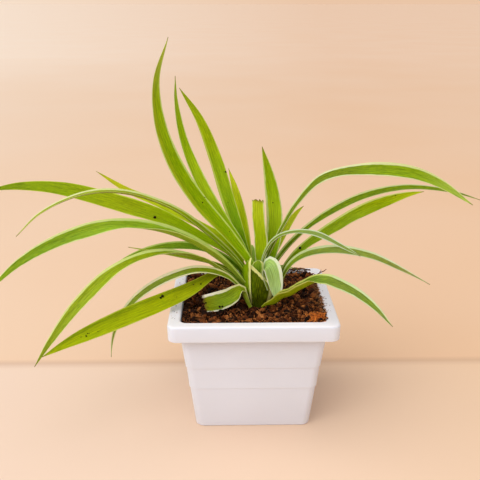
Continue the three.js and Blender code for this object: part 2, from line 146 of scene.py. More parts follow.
LEAVES = {
    "left_broad": dict(
        heading=172, width=14, back=2.5, twist=[0, -15, -45, -50, -70], fold=[40, 12, 5],
        path=[
            (6, 103), (18, 119), (42, 133), (71, 148), (110, 160), (146, 168), (177, 169), (203, 165),
        ],
        green="#c4e22a #a2c004 #a1b001 #879e01 #728f04", pale="#b0cc3c #c0c838", margin=(0.08, 0.05),
    ),
    "left_edge": dict(
        heading=186, width=9, back=-0.8, twist=[-20, -20, -3, -8, -25], fold=[50, 32, 20],
        path=[(6, 103), (12, 115), (35, 139), (62, 160), (96, 172), (124, 171), (152, 159), (170, 143)],
        green="#8fbc0d #93af0a #9aa412 #a0a830 #b0b44c", pale="#c0cc68 #dce0a4",
        margin=([0.2, 0.4, 0.4], 0.02),
    ),
    "left_arch": dict(
        heading=196, width=12.5, back=-1.6, peak=0.3, twist=[-8, -8, -12, -30, -66, -68, -50],
        fold=[50, 58, 58, 40, 12, 6, 6],
        path=[(4, 95), (28, 121), (57, 141), (85, 151), (112, 153), (139, 147), (166, 134), (190, 114)],
        green="#447008 #9cbc20 #9cbc34 #84aa2c #809c1c", pale="#c0d464 #dce8a4",
        margin=([0.36, 0.3, 0.26], [0.14, 0.08]),
    ),
    "left_dark": dict(
        heading=162, width=10, back=4.2, twist=[0, -10, -20, -25, -20], fold=[45, 20, 10],
        path=[(4, 93), (16, 110), (44, 122), (76, 120), (104, 109), (128, 93)],
        green="#4c700a #66900e #70920c #7a8c30", pale="#9cba40 #b8c470", margin=(0.3, 0.08),
    ),
    "left_droop": dict(
        heading=202, width=11, back=4.5, base=0.22, peak=0.5, twist=[0, 12, -10, -50, -55],
        fold=[46, 22, 8],
        path=[
            (3, 87), (12, 97), (25, 110), (44, 124), (73, 132), (102, 126), (131, 105), (152, 81),
            (164, 64),
        ],
        green="#5c7a08 #7e9b0e #9cac18 #98ac28 #7e8c20", pale="#c4d468 #dce498",
        margin=([0.3, 0.56, 0.3, 0.26], 0.1),
    ),
    "left_sliver": dict(
        heading=178, width=6, back=2.2, twist=[0, 0, -5], fold=[45, 20, 10],
        path=[(4, 96), (25, 112), (60, 121), (94, 128)],
        green="#829a07 #b3bc1e", pale="#c0c86a #c0c86a", margin=(0.156, 0.156),
    ),
    # The pale grey-green towards the tip is partly painted sheen over the blade's own green.
    "front_left_thin": dict(
        heading=195, width=6.8, back=-4.5, base=0.55, twist=[-25, -40, -52, -48, -30],
        fold=[44, 20, 10, 6, 6],
        path=[
            (6.3, 90.9), (10.1, 96.8), (15.5, 102.7), (20.7, 107.9), (28.2, 112.4), (36.4, 115.2),
            (47.6, 116.4), (59.2, 114.3), (70.7, 110.4), (82.3, 104.2), (92, 96.4), (101, 84.8),
            (106, 74.1), (108.2, 64.9), (109.3, 54.6),
        ],
        green="#7c9c10 #80941a #84983a #889c3c #a0b050", pale="#ccd07c #e8e4bc #dce0b4",
        margin=([0.4, 0.56, 0.56], 0.3),
    ),
    "front_left_broad": dict(
        heading=203, width=13.5, back=10.05, base=0.28, peak=0.6, twist=[-10, -30, -50, -45, -40, -25],
        fold=[60, 40, 6, 6, 6, 6],
        path=[
            (7.8, 87.2), (12.8, 93.9), (19.3, 101.1), (25.7, 106.6), (32.1, 108.5), (39.2, 105.8),
            (47.8, 102.4), (57.1, 99.6), (75.3, 95.1), (97.4, 89.9), (118.9, 84.5), (139.8, 78.6),
            (158.8, 71.7),
        ],
        green="#8c9e0a #9ca605 #b4bf01 #acb901 #a0a803", pale="#a8b22c #c4cc50", margin=(0.078, 0.062),
        stripe=(-0.85, -0.45, "#6f860c", 0.6),
    ),
    "front_left_creased": dict(
        heading=202, width=14.2, back=-10.5, base=0.32, peak=0.75, end="torn",
        twist=[0, -20, -65, -70, -70], fold=[65, 60, 15, 5, 5],
        path=[
            (5.7, 86), (8.5, 91), (11, 96.3), (12.7, 99.2), (16.2, 97.8), (22.5, 94.3), (31.5, 91.5),
            (42.1, 90.1),
        ],
        green="#6c8010 #8ca21c #86a127 #8b8f0d", pale="#d0d078 #fbf7dc",
        margin=([0.14, 0.3, 0.3], [0.04, 0.14, 0.14]),
    ),
    "tall_left": dict(
        heading=180, width=12, back=-1, base=0.6, twist=[-45, -60, -62, -45, -35], fold=[45, 14, 8],
        path=[(2, 104), (5, 115), (20, 137), (42, 164), (59, 193), (68, 221), (69, 249), (60, 277)],
        green="#a0c708 #8cb405 #8cb001 #9fbf14 #d0e664", pale="#b4cc58 #ccdc8c", margin=(0.2, 0.12),
        stripe=(0.4, 1, "#b0bc20", 0.75),
    ),
    "tall_second": dict(
        heading=165, width=9, back=1.5, twist=[-45, -55, -50, -32, -25], fold=[45, 12, 8],
        path=[(3, 104), (11, 127), (25, 147), (42, 176), (54, 205), (59, 233), (59, 250)],
        green="#98bc10 #b5db22 #bad822 #a1c60e #a2c240", pale="#c8da7c #ccdc8c", margin=(0.16, 0.12),
    ),
    "tall_third": dict(
        heading=150, width=10.5, back=4, twist=[-30, -40, -45, -50, -60], fold=[45, 12, 8],
        path=[(3, 106), (13, 132), (24, 161), (34, 190), (47, 218), (64, 240)],
        green="#6ca008 #7ead18 #9abc18 #a3b908 #8c9a10", pale="#b9c95c #b5bf4c",
        margin=(0.12, [0.4, 0.3, 0.12]),
    ),
    "tall_short": dict(
        heading=115, width=8, back=4, base=0.6, twist=[-60, -60, -45, -25], fold=[45, 15, 8],
        path=[(4, 100), (15, 130), (30, 157), (47, 178)],
        green="#a4ca12 #c4d813 #d4d828", pale="#c9cc68 #bdbf48", margin=([0.34, 0.12], 0.172),
    ),
    "cut_upright": dict(
        heading=60, width=11, back=0.6, end="torn", twist=[0, 0, 0], fold=[40, 8, 4],
        path=[(5, 104), (8.5, 117), (8, 132), (4, 148), (2, 164.5)],
        green="#aec913 #c3db1a #cbda2c", pale="#dce2a8 #dce2a8", margin=(0.16, 0.1),
    ),
    "upright_right": dict(
        heading=40, width=12.5, back=1, twist=[20, 30, 35, 35, 30], fold=[45, 12, 8],
        path=[(6, 97), (14, 115), (18, 132), (18, 152), (13, 177), (5, 202)],
        green="#648c06 #a4c818 #bedc28 #98be0e #99b21a", pale="#d4dea0 #ccd890", margin=(0.12, 0.26),
    ),
    "back_right_small": dict(
        heading=52, width=7, back=5, base=0.6, twist=[0, 0, 10, 50], fold=[45, 15, 8],
        path=[(3, 95), (18, 111), (38, 131), (53, 142), (64, 146)],
        green="#98a910 #b2b71b", pale="#cbd17c #c0c660", margin=(0.109, 0.109),
    ),
    "right_high": dict(
        heading=352, width=10.5, back=2.4, base=0.2, peak=0.6, twist=[30, 20, 27, 70, 55],
        fold=[45, 12, 8],
        path=[
            (3.1, 102.6), (9.4, 121.2), (18.7, 141.4), (30.7, 163.1), (47.2, 180.9), (76, 187.9),
            (107, 187), (126.9, 180.1), (151, 165),
        ],
        green="#567c09 #6a8224 #6e8118 #8cac1c #b4cc5c", pale="#b0b862 #d6dba6 #d0dc90",
        margin=([0.6, 0.3, 0.12, 0.1], [0.2, 0.3, 0.34, 0.3]),
    ),
    "right_middle": dict(
        heading=8, width=9, back=-1, base=0.6, twist=[15, 8, 18, 20, 25], fold=[45, 14, 8],
        path=[(4, 94), (19, 121), (41, 143), (75, 162), (110, 169), (146, 165), (172, 157)],
        green="#5a7602 #567406 #6e8908 #728e0a #798128", pale="#b2b96a #cfd392 #c0c08c",
        margin=(0.08, [0.3, 0.36, 0.34, 0.3]),
    ),
    "right_broad": dict(
        heading=22, width=11, back=3, peak=0.5, twist=[5, 13, 28, 60, 35], fold=[45, 12, 8],
        path=[
            (13.5, 91.5), (20.9, 101.8), (27.4, 110.6), (34, 117.4), (41.5, 122.9), (51.6, 128.8),
            (66, 136), (83.2, 143.7), (100.8, 149.5), (118.8, 153.4), (132.6, 155.4), (145.7, 156.2),
        ],
        green="#5a7e04 #8aa80e #94ad0c #a2b709 #b9bf14", pale="#c0c86c #ccd47c",
        margin=(0.062, [0.3, 0.3, 0.26, 0.2]),
    ),
    # Its grey-blue greens and whitish edges are partly painted sheen over the blade's own green.
    "right_grey": dict(
        heading=335, width=6.5, back=1.5, base=0.2, twist=[30, 30, 10, 30, 50], fold=[45, 20, 10],
        path=[
            (2.6, 100.6), (4.6, 115), (12.1, 132.6), (23.1, 141.1), (43.7, 144.1), (66.5, 136.8),
            (78.1, 132),
        ],
        green="#6c8a1c #7c9038 #849757 #849950", pale="#bcca84 #c8d4ac #c8d4b4", margin=(0.3, 0.34),
    ),
    # Its greyer greens and whitish edges are partly painted sheen over the blade's own green.
    "right_low": dict(
        heading=345, width=8, back=0, base=0.4, twist=[25, 30, 35, 32, 12], fold=[50, 25, 12, 12],
        path=[
            (8.8, 86.2), (12.4, 91), (17.1, 98.7), (21.1, 107), (24.3, 113.9), (29, 120), (36.2, 125.2),
            (46.9, 129.1), (59.7, 131.1), (71.8, 130.5), (86, 127.8), (103.7, 120.7), (117.9, 114.1),
            (125, 110.7),
        ],
        green="#74980a #829c29 #87994a #8a9349 #ac9c6c", pale="#bcca78 #ccd8a4 #d0d8b0",
        margin=(0.14, [0.3, 0.44, 0.44, 0.4]),
    ),
    "front_right_low": dict(
        heading=325, width=11.6, back=-7.3, base=0.2, peak=0.16, ripple=(0.8, 7), under="#97a00c",
        twist=[0, 4, 12, 19, 22, 28, 32, 34, 38, 42, 46], fold=[72, 71, 70, 68, 66, 20, 8, 8, 8, 8, 8],
        path=[
            (5.2, 85), (12.1, 88.2), (20.6, 93.8), (28.9, 99.1), (37, 104.8), (44.9, 110.5),
            (50.4, 113.8), (55.1, 115.5), (60.6, 116.1), (68.4, 114.8), (76.1, 112.9), (83.8, 110),
            (91.4, 106.1), (99.1, 100.8), (105.3, 95.2), (109.1, 92.1),
        ],
        green="#454d0c #5f690d #789634 #768a39 #768e3d #909e5c",
        pale="#c4c44c #c8c85c #c8cc68 #c4d498 #ccd8a8 #ccd8a8",
        margin=([0.16, 0.16, 0.2, 0.2], [0.16, 0.16, 0.18, 0.42, 0.5, 0.5]),
    ),
    # Its whitish greens are partly painted sheen over the blade's own green.
    "front_pale": dict(
        heading=322, width=13.4, back=-3.1, base=0.15, peak=0.42, tip=0, twist=[26, 26, 38, 50, 52, 52],
        fold=[45, 20, 8],
        path=[
            (10.9, 98.4), (10, 105.9), (9.2, 111.8), (9.2, 115.4), (10.7, 117.7), (13, 116.9),
            (15.4, 112.5), (17, 106.9), (18.2, 100.9), (19, 94.6), (19.3, 88.7),
        ],
        green="#9cb056 #b5da83 #deffb0", pale="#dce8bc #f2f6dc",
        margin=([0.12, 0.1, 0.04], [0.36, 0.34, 0.3]),
    ),
    "front_young": dict(
        heading=280, width=8.6, back=0, base=0.6, peak=0.8, tip=0, twist=[0, 0, 0, 0],
        fold=[12, 8, 5, 5],
        path=[(5.8, 101), (6.1, 107.5), (6.4, 113.5), (6.8, 118), (7.4, 120.8)],
        green="#68a00a #7eb40c #9ecc27", pale="#d4dc6c #e4e89c", margin=(0.14, 0.4),
    ),
    "back_left": dict(
        heading=152, width=8, back=8.6, twist=[0, -15, -30, -55], fold=[45, 15, 8],
        path=[(5, 97), (14, 114), (30, 129), (56, 140), (83, 150), (112, 158), (142, 171)],
        green="#b4cc10 #c4d010 #c4bc18", pale="#b5bf4c #b9c050", margin=(0.094, 0.078),
    ),
    "back_low_left": dict(
        heading=130, width=10, back=2, twist=[0, 0, 10, 10], fold=[45, 15, 8],
        path=[(3, 86), (20, 96.5), (38, 100), (55, 97.5), (68, 92)],
        green="#5c7a0c #6c8c12 #76962a", pale="#bac468 #cbd38c", margin=(0.125, 0.125),
    ),
    "back_low_middle": dict(
        heading=94, width=11, back=0.4, base=0.35, twist=[0, -8, -10, 0], fold=[45, 15, 8],
        path=[(5, 88), (20, 100), (45, 107), (78, 103), (110, 84), (126, 66)],
        green="#587608 #6c8e10 #7c9c20", pale="#bac468 #cbd38c", margin=(0.109, 0.109),
    ),
    "back_low_right": dict(
        heading=50, width=10, back=2.4, base=0.3, twist=[0, 5, 8, 0], fold=[45, 15, 8],
        path=[(3.5, 88), (14, 97), (28, 102), (42, 101), (56, 95)],
        green="#587608 #6c8c10 #86a018", pale="#bac468 #c6ce80", margin=(0.125, 0.125),
    ),
}

# Crumbs of soil that stuck to each leaf: place along it, place across it, size (mm).
LEAF_CRUMBS = {
    "left_broad": [(0.39, 0.4, 2.2), (0.43, -0.2, 0.5), (0.17, -0.8, 1.2), (0.12, -0.3, 0.9)],
    "left_arch": [(0.13, -0.2, 0.8)],
    "front_left_broad": [
        (0.455, -0.55, 2.0), (0.465, -0.45, 1.6), (0.4, 0.2, 0.7), (0.8, 0, 0.9), (0.81, 0.25, 1.1),
        (0.795, 0.1, 0.6), (0.83, 0.05, 0.7), (0.76, 0.3, 0.6), (0.28, 0.1, 1.2), (0.31, -0.4, 0.9),
    ],
    "front_left_creased": [
        (0.75, 0.6, 1.7), (0.71, 0.66, 1.4), (0.95, -0.1, 1.2), (0.93, 0.4, 0.8),
    ],
    "tall_left": [(0.36, -0.3, 1.1), (0.37, -0.9, 0.7), (0.21, -0.5, 0.7)],
    "tall_second": [(0.25, 0, 0.7)],
    "tall_third": [(0.53, -0.85, 1.3), (0.38, 0.1, 0.6)],
    "upright_right": [(0.59, 0.1, 0.9)],
    "right_broad": [(0.25, 0.5, 2.0), (0.83, 0.5, 0.9)],
    "cut_upright": [(0.12, -0.8, 0.8)],
    "left_droop": [(0.2, 0.2, 0.8)],
}

# The twig on the rim: points along each of its branches and their radius (mm).
TWIG = [
    (
        [
            (53.5, 40.5, 87.7), (55.6, 42.0, 88.4), (58.2, 43.7, 89.4), (60.8, 45.4, 89.7),
            (62.8, 46.9, 90.7),
        ],
        0.55,
    ),
    ([(56.4, 42.4, 88.7), (57.6, 43.6, 90.2), (58.4, 44.2, 91.2)], 0.4),
    ([(54, 41, 88.0), (51.5, 41.5, 88.8), (49.5, 41.8, 88.6)], 0.4),
]


# Small helpers


def paint(code):
    """A colour written as on screen, as Blender's linear red, green, blue and alpha."""
    values = [int(code[i : i + 2], 16) / 255 for i in (1, 3, 5)]
    return tuple(v / 12.92 if v <= 0.04045 else ((v + 0.055) / 1.055) ** 2.4 for v in values) + (1.0,)


def paints(codes):
    return np.array([paint(code) for code in codes.split()])


def smooth(low, high, value):
    """0 below low, 1 above high, eased between them."""
    t = np.clip((value - low) / (high - low), 0, 1)
    return t * t * (3 - 2 * t)


def blend(share, a, b):
    return a * (1 - share) + b * share


def eased(knots, along):
    """Value at a place from 0 to 1 between knots at even steps, eased from knot to knot."""
    knots = np.asarray(knots, float)
    place = np.clip(along, 0, 1) * (len(knots) - 1)
    i = np.minimum(np.floor(place).astype(int), len(knots) - 2)
    t = smooth(0, 1, place - i)
    if knots.ndim > 1:
        t = t[..., None]
    return knots[i] + (knots[i + 1] - knots[i]) * t


def spaced_path(points, count):
    """A centripetal curve through points, as count + 1 evenly spaced points, and its length."""
    p = np.asarray(points, float)
    p = np.vstack([2 * p[0] - p[1], p, 2 * p[-1] - p[-2]])
    share = np.linspace(0, 1, 60, endpoint=False)[:, None]
    fine = []
    for i in range(1, len(p) - 2):
        p0, p1, p2, p3 = p[i - 1 : i + 3]
        d0, d1, d2 = (max(np.linalg.norm(b - a), 1e-9) ** 0.5 for a, b in ((p0, p1), (p1, p2), (p2, p3)))
        m1 = ((p1 - p0) / d0 - (p2 - p0) / (d0 + d1) + (p2 - p1) / d1) * d1
        m2 = ((p2 - p1) / d1 - (p3 - p1) / (d1 + d2) + (p3 - p2) / d2) * d1
        square, cube = 3 * (p2 - p1) - 2 * m1 - m2, 2 * (p1 - p2) + m1 + m2
        fine.append(p1 + m1 * share + square * share**2 + cube * share**3)
    fine = np.vstack(fine + [p[-2:-1]])
    run = np.r_[0, np.cumsum(np.linalg.norm(np.diff(fine, axis=0), axis=1))]
    at = np.linspace(0, run[-1], count + 1)
    return np.stack([np.interp(at, run, fine[:, k]) for k in range(2)], 1), run[-1]


def wander(x, seed):
    """A smooth wandering value near -1 to 1."""
    return (np.sin(x + seed) + 0.6 * np.sin(2.3 * x + 1.7 * seed) + 0.4 * np.sin(5.1 * x + 0.6 * seed)) / 2


def turns(count):
    """Angles of count points round a circle."""
    return np.linspace(0, FULL_TURN, count + 1)[:-1]


def outward(vertices, faces):
    """The same closed shape with its faces turned outwards."""
    volume = 0.0
    middle = vertices.mean(axis=0)
    for count in {len(face) for face in faces}:
        corners = vertices[np.array([face for face in faces if len(face) == count])] - middle
        for k in range(1, count - 1):
            volume += np.einsum("ij,ij->", corners[:, 0], np.cross(corners[:, k], corners[:, k + 1]))
    if volume < 0:
        faces = [face[::-1] for face in faces]
    return vertices, faces


def slab(upper, lower):
    """Vertices and faces of a thin closed sheet between two grids of points."""
    n, m = upper.shape[:2]
    index = np.arange(n * m).reshape(n, m)
    below = index + n * m
    strips = []
    for i in range(n - 1):
        strips += [(index[i], index[i + 1]), (below[i + 1], below[i])]
    strips += [(below[0], index[0]), (index[-1], below[-1])]
    strips += [(index[:, 0], below[:, 0]), (below[:, -1], index[:, -1])]
    quads = []
    for a, b in strips:
        quads.extend(np.stack([a[:-1], a[1:], b[1:], b[:-1]], 1).tolist())
    return outward(np.vstack([upper.reshape(-1, 3), lower.reshape(-1, 3)]), quads)


def joined(parts):
    """Several (vertices, faces) as one."""
    vertices, faces, first = [], [], 0
    for v, f in parts:
        vertices.append(v)
        faces += [[i + first for i in face] for face in f]
        first += len(v)
    return np.vstack(vertices), faces


def loft(rings):
    """Vertices and faces of a tube through rings with equally many points."""
    count, last = len(rings[0]), (len(rings) - 1) * len(rings[0])
    faces = []
    for first in range(0, last, count):
        for j in range(count):
            a, b = first + j, first + (j + 1) % count
            faces.append([a, b, b + count, a + count])
    faces.append(list(range(count - 1, -1, -1)))
    faces.append(list(range(last, last + count)))
    return outward(np.vstack(rings), faces)


def plane_axes(heading):
    """Level directions along a heading and across it."""
    a = math.radians(heading)
    return np.array([math.cos(a), math.sin(a), 0.0]), np.array([-math.sin(a), math.cos(a), 0.0])


def from_crown(points, out):
    """Points given out from the crown's axis and up from the foot, as points in space (mm)."""
    return np.array([CROWN_X, CROWN_Y, 0]) + points[..., :1] * out + points[..., 1:] * (0, 0, 1)


def new_piece(name, vertices, faces, material, smooth_angle=None):
    """A mesh object from points in millimetres."""
    mesh = bpy.data.meshes.new(name)
    mesh.from_pydata((np.asarray(vertices) * MM).tolist(), [], faces)
    mesh.update()
    mesh.polygons.foreach_set("use_smooth", [True] * len(mesh.polygons))
    if smooth_angle is not None:
        mesh.set_sharp_from_angle(angle=math.radians(smooth_angle))
    mesh.materials.append(material)
    piece = bpy.data.objects.new(name, mesh)
    bpy.context.scene.collection.objects.link(piece)
    return piece


def give(piece, **values):
    """Stores a number or a colour for each vertex, under the name that the materials read."""
    for name, rows in values.items():
        kind, field = ("FLOAT_COLOR", "color") if np.ndim(rows) > 1 else ("FLOAT", "value")
        attribute = piece.data.attributes.new(name, kind, "POINT")
        attribute.data.foreach_set(field, np.asarray(rows, np.float32).ravel())


def give_uv(piece, name, uv):
    """Stores a UV map from one pair for each vertex."""
    mesh = piece.data
    layer = mesh.uv_layers.new(name=name)
    corners = np.zeros(len(mesh.loops), np.int32)
    mesh.loops.foreach_get("vertex_index", corners)
    layer.data.foreach_set("uv", np.asarray(uv, np.float32)[corners].ravel())


def bake_modifiers(piece):
    """Turns the piece with its modifiers into a plain mesh."""
    graph = bpy.context.evaluated_depsgraph_get()
    graph.update()
    mesh = bpy.data.meshes.new_from_object(piece.evaluated_get(graph), depsgraph=graph)
    piece.modifiers.clear()
    old = piece.data
    piece.data = mesh
    bpy.data.meshes.remove(old)
    mesh.name = piece.name


def finish_piece(piece, slot, *nodes):
    """The piece stands with the planter and stands for nodes. Its slot is not used."""
    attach(piece, "root")
    if nodes:
        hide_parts(*nodes)


# Node trees


class Nodes:
    """Adds nodes to a tree."""

    def __init__(self, tree):
        self.tree = tree

    def put(self, kind, inputs=None, **settings):
        """Adds a node. inputs maps a socket's name or number to a value or a node's output."""
        node = self.tree.nodes.new(kind)
        for key, value in settings.items():
            setattr(node, key, value)
        for key, value in (inputs or {}).items():
            if isinstance(value, bpy.types.NodeSocket):
                self.tree.links.new(value, node.inputs[key])
            else:
                node.inputs[key].default_value = value
        return node

    def add(self, kind, inputs=None, out=0, **settings):
        """Adds a node and returns one of its outputs."""
        return self.put(kind, inputs, **settings).outputs[out]

    def math(self, operation, a, b):
        return self.add("ShaderNodeMath", {0: a, 1: b}, operation=operation)

    def span(self, value, low, high, to_low=0.0, to_high=1.0):
        """Maps low to high onto to_low to to_high, and stops at both ends."""
        inputs = {"Value": value, 1: low, 2: high, 3: to_low, 4: to_high}
        return self.add("ShaderNodeMapRange", inputs)

    def mix(self, share, a, b, blend_type="MIX"):
        inputs = {0: share, 6: a, 7: b}
        return self.add("ShaderNodeMix", inputs, 2, data_type="RGBA", blend_type=blend_type)

    def axes(self, vector):
        """The three numbers of a vector."""
        return self.put("ShaderNodeSeparateXYZ", {0: vector}).outputs


class Finish(Nodes):
    """A material with one surface shader, built node by node."""

    def __init__(self, name):
        self.material = bpy.data.materials.new(name)
        self.material.use_nodes = True
        super().__init__(self.material.node_tree)
        self.tree.nodes.clear()
        self.surface = self.put("ShaderNodeBsdfPrincipled")
        self.put("ShaderNodeOutputMaterial", {"Surface": self.surface.outputs["BSDF"]})
        self.place = self.add("ShaderNodeTexCoord", out="Object")

    def noise(self, scale, detail=2.0, vector=None, rough=0.5):
        inputs = {"Vector": vector or self.place, "Scale": scale, "Detail": detail, "Roughness": rough}
        return self.add("ShaderNodeTexNoise", inputs)

    def ramp(self, value, *stops):
        node = self.put("ShaderNodeValToRGB", {"Fac": value})
        elements = node.color_ramp.elements
        while len(elements) < len(stops):
            elements.new(0.5)
        for element, (position, colour) in zip(elements, stops):
            element.position = position
            element.color = colour
        return node.outputs["Color"]

    def bump(self, height, distance, strength=1.0, under=None):
        inputs = {"Height": height, "Distance": distance, "Strength": strength}
        if under is not None:
            inputs["Normal"] = under
        return self.add("ShaderNodeBump", inputs)

    def value(self, name, out="Fac"):
        return self.add("ShaderNodeAttribute", out=out, attribute_name=name)

    def set(self, **sockets):
        """Gives the shader's sockets a value or a node's output, and returns the material."""
        for key, value in sockets.items():
            socket = self.surface.inputs[key.replace("_", " ").title().replace("Ior", "IOR")]
            if isinstance(value, bpy.types.NodeSocket):
                self.tree.links.new(value, socket)
            else:
                socket.default_value = value
        return self.material


# Materials


def planter_plastic(colour):
    f = Finish("Satin white plastic")
    tone = f.mix(f.span(f.noise(18, 3), 0.3, 0.7, 0, 0.5), tuple(colour), paint("#e0e5f2"))
    # Painted light: the rim's flat top is made lighter and pinker, as lit from above.
    rim_top = f.span(f.axes(f.place)[2], 0.0866, 0.0872)
    peel = f.bump(f.noise(2600, 2), 0.00004, 0.35)
    return f.set(
        base_color=f.mix(rim_top, tone, paint("#f6f0f4")),
        roughness=f.span(f.noise(140, 3), 0.2, 0.8, 0.3, 0.44),
        normal=f.bump(f.noise(55, 2), 0.0004, 0.12, peel),
        subsurface_weight=0.12,
        subsurface_radius=(0.004, 0.0035, 0.003),
        subsurface_scale=1.0,
    )


def soil_earth(dark, light):
    f = Finish("Moist coir soil")
    grain = f.noise(420, 6, rough=0.7)
    tone = f.ramp(grain, (0.35, paint("#120703")), (0.6, tuple(dark)), (0.85, tuple(light)))
    return f.set(base_color=tone, roughness=0.92, specular_ior_level=0.1, normal=f.bump(grain, 0.0012))


def crumb_earth(dark, light):
    f = Finish("Coir crumbs")
    stops = (0, paint("#160803")), (0.35, tuple(dark)), (0.75, tuple(light)), (1, paint("#c47c40"))
    shade = f.ramp(f.value("tint"), *stops)
    grain = f.noise(900, 5, rough=0.7)
    tone = f.mix(f.span(grain, 0.42, 0.6, 0, 0.85), shade, f.mix(1.0, shade, paint("#7a5238"), "MULTIPLY"))
    return f.set(
        base_color=f.mix(f.span(grain, 0.42, 0.3, 0, 0.4), tone, paint("#a0683e")),
        roughness=f.span(grain, 0.3, 0.7, 0.98, 0.6),
        specular_ior_level=0.12,
        normal=f.bump(grain, 0.0006),
    )


def fibre_coir(name, dark, light):
    f = Finish(name)
    tone = f.ramp(f.value("tint"), (0, paint(dark)), (1, paint(light)))
    return f.set(base_color=tone, roughness=0.75, normal=f.bump(f.noise(3000, 2), 0.0001))


def leaf_skin(name, gloss_rough, vein_depth):
    """Leaf blades and sheaths: a green middle, pale margins, fine veins along the blade."""
    f = Finish(name)
    uv = f.add("ShaderNodeUVMap", uv_map="blade")
    along_veins, along_edge = (
        f.add("ShaderNodeMapping", {"Vector": uv, "Scale": (1, stretch, 1)}) for stretch in (0.035, 0.2)
    )
    veins = f.noise(17, 3, along_veins, 0.6)
    fine_veins = f.noise(60, 2, along_veins)
    plain = f.value("tone", "Color")
    green = f.mix(f.span(veins, 0.35, 0.65, 0, 0.7), plain, f.mix(1.0, plain, paint("#8c9a6a"), "MULTIPLY"))
    for share, tint in (
        (f.span(fine_veins, 0.45, 0.7, 0, 0.6), "#d4e200"),
        (f.span(f.noise(90, 3), 0.45, 0.75, 0, 0.35), "#93b400"),
    ):
        green = f.mix(share, green, f.mix(0.5, green, paint(tint)))
    ragged = f.span(f.noise(9, 4, along_edge), 0.2, 0.8, -0.05, 0.05)
    reach = f.math("ADD", f.value("reach"), ragged)
    mask = f.math("DIVIDE", f.math("SUBTRACT", reach, f.value("margin_start")), 0.09)
    pale = f.mix(f.span(veins, 0.4, 0.7, 0, 0.2), f.value("edge_tone", "Color"), plain)
    tone = f.mix(f.span(mask, -0.5, 0.5), green, pale)
    brown = f.ramp(veins, (0.3, paint("#3a2410")), (0.7, paint("#8a6230")))
    ridges = f.math("ADD", f.math("MULTIPLY", veins, 0.7), f.math("MULTIPLY", fine_veins, 0.3))
    return f.set(
        base_color=f.mix(f.value("brown"), tone, brown),
        roughness=f.span(veins, 0.3, 0.7, gloss_rough - 0.06, gloss_rough + 0.08),
        normal=f.bump(ridges, vein_depth, 0.8, f.bump(f.noise(1500, 2), 0.00003, 0.3)),
        specular_ior_level=0.05,
        subsurface_weight=0.15,
        subsurface_radius=(0.001, 0.0014, 0.0003),
        subsurface_scale=1.0,
    )


# Planter


def square_ring(half, z, corner, steps=9):
    """A level square with rounded corners, counter-clockwise from above (mm)."""
    ring = []
    for side in range(4):
        c, s = math.cos(side * math.pi / 2), math.sin(side * math.pi / 2)
        for x, y in arc((half - corner, half - corner), corner, 0, 90, steps):
            ring.append((x * c - y * s, x * s + y * c, z))
    return np.array(ring)


def arc(middle, radius, start, end, steps):
    """Points of a rounding, from one angle in degrees to another."""
    angles = np.radians(np.linspace(start, end, steps + 1))
    return [(middle[0] + radius * math.cos(a), middle[1] + radius * math.sin(a)) for a in angles]


def planter_profile(p):
    """Half widths and heights of the planter's outline, from the foot round to the inner floor."""
    top, rim, band = p.height, p.rim_width / 2, p.height - p.rim_band
    foot, body, wall, turn = p.foot_width / 2, p.body_width / 2, p.wall, p.rim_round
    outline = arc((foot - FOOT_ROUND, FOOT_ROUND), FOOT_ROUND, -90, -8, 4)
    for step in (p.lower_ledge, p.upper_ledge):
        side = foot + (body - foot) / band * step
        outline += [(side - inwards, step - down) for inwards, down in LEDGE_UNDERSIDE]
        outline += arc((side - LEDGE_ROUND, step - LEDGE_EDGE), LEDGE_ROUND, -60, 6, 3)
    lip = rim - wall
    outline += [(body, band), (body, top - wall), (lip, top - wall), (lip, band + LIP_ROUND)]
    outline += arc((lip + LIP_ROUND, band + LIP_ROUND), LIP_ROUND, 180, 270, 3)
    outline += arc((rim - BAND_TAPER - BAND_ROUND, band + BAND_ROUND), BAND_ROUND, -90, 0, 4)
    outline += arc((rim - turn, top - turn), turn, 0, 90, 6)
    outline += arc((rim - p.rim_top + turn, top - turn), turn, 90, 180, 6)
    return outline + [(body - wall, band), (foot - wall, p.floor)]


def build_planter(p):
    sizes = [name for name in PlanterSettings.__annotations__ if name != "colour"]
    size = SimpleNamespace(**{name: getattr(p, name) / MM for name in sizes})
    rings = [square_ring(half, z, size.corner) for half, z in planter_profile(size)]
    plastic = planter_plastic(p.colour)
    piece = new_piece("planter", *loft(rings), plastic, PLASTIC_SHARP)
    turn = turns(32)
    circle = DRAIN_RADIUS * np.stack([np.cos(turn), np.sin(turn), 0 * turn], 1)
    drills = []
    for x in (-DRAIN_OFFSET, DRAIN_OFFSET):
        for y in (-DRAIN_OFFSET, DRAIN_OFFSET):
            drills.append(loft([circle + (x, y, z) for z in (DRILL_LOW, DRILL_HIGH)]))
    cutter = new_piece("drain_cutter", *joined(drills), plastic)
    cut = piece.modifiers.new("Drain holes", "BOOLEAN")
    cut.object = cutter
    cut.solver = "EXACT"
    bake_modifiers(piece)
    bpy.data.objects.remove(cutter)
    piece.data.set_sharp_from_angle(angle=math.radians(PLASTIC_SHARP))
    finish_piece(piece, "pot", "pot")


# Soil


def rise(x, y, mound, power=1):
    """Height of a round mound over a place (mm)."""
    distance = np.hypot(x - mound["x"], y - mound["y"]) / mound["reach"]
    return mound["height"] * np.maximum(0, 1 - distance**power)


def soil_height(x, y):
    """How far the soil's surface lies above its level (mm): shallow rolls and lumps, the banks
    along the planter's walls and the mound under the coir clump."""
    rolls = 0.9 * np.sin(x / 6) * np.cos(y / 6 + x / 12)
    lumps = 0.45 * np.sin(x * 1.1 + 2 * np.sin(y * 0.7)) * np.sin(y * 1.3 + np.sin(x * 0.8))
    sides, back = (smooth(BANK_START, BANK_END, value) for value in (np.abs(x), y))
    banks = 2.4 * sides + 1.3 * smooth(BANK_START + 2, BANK_END, -y) + 2.6 * back
    return rolls + lumps + np.minimum(banks, BANK_TOP) + rise(x, y, MOUND, 2)


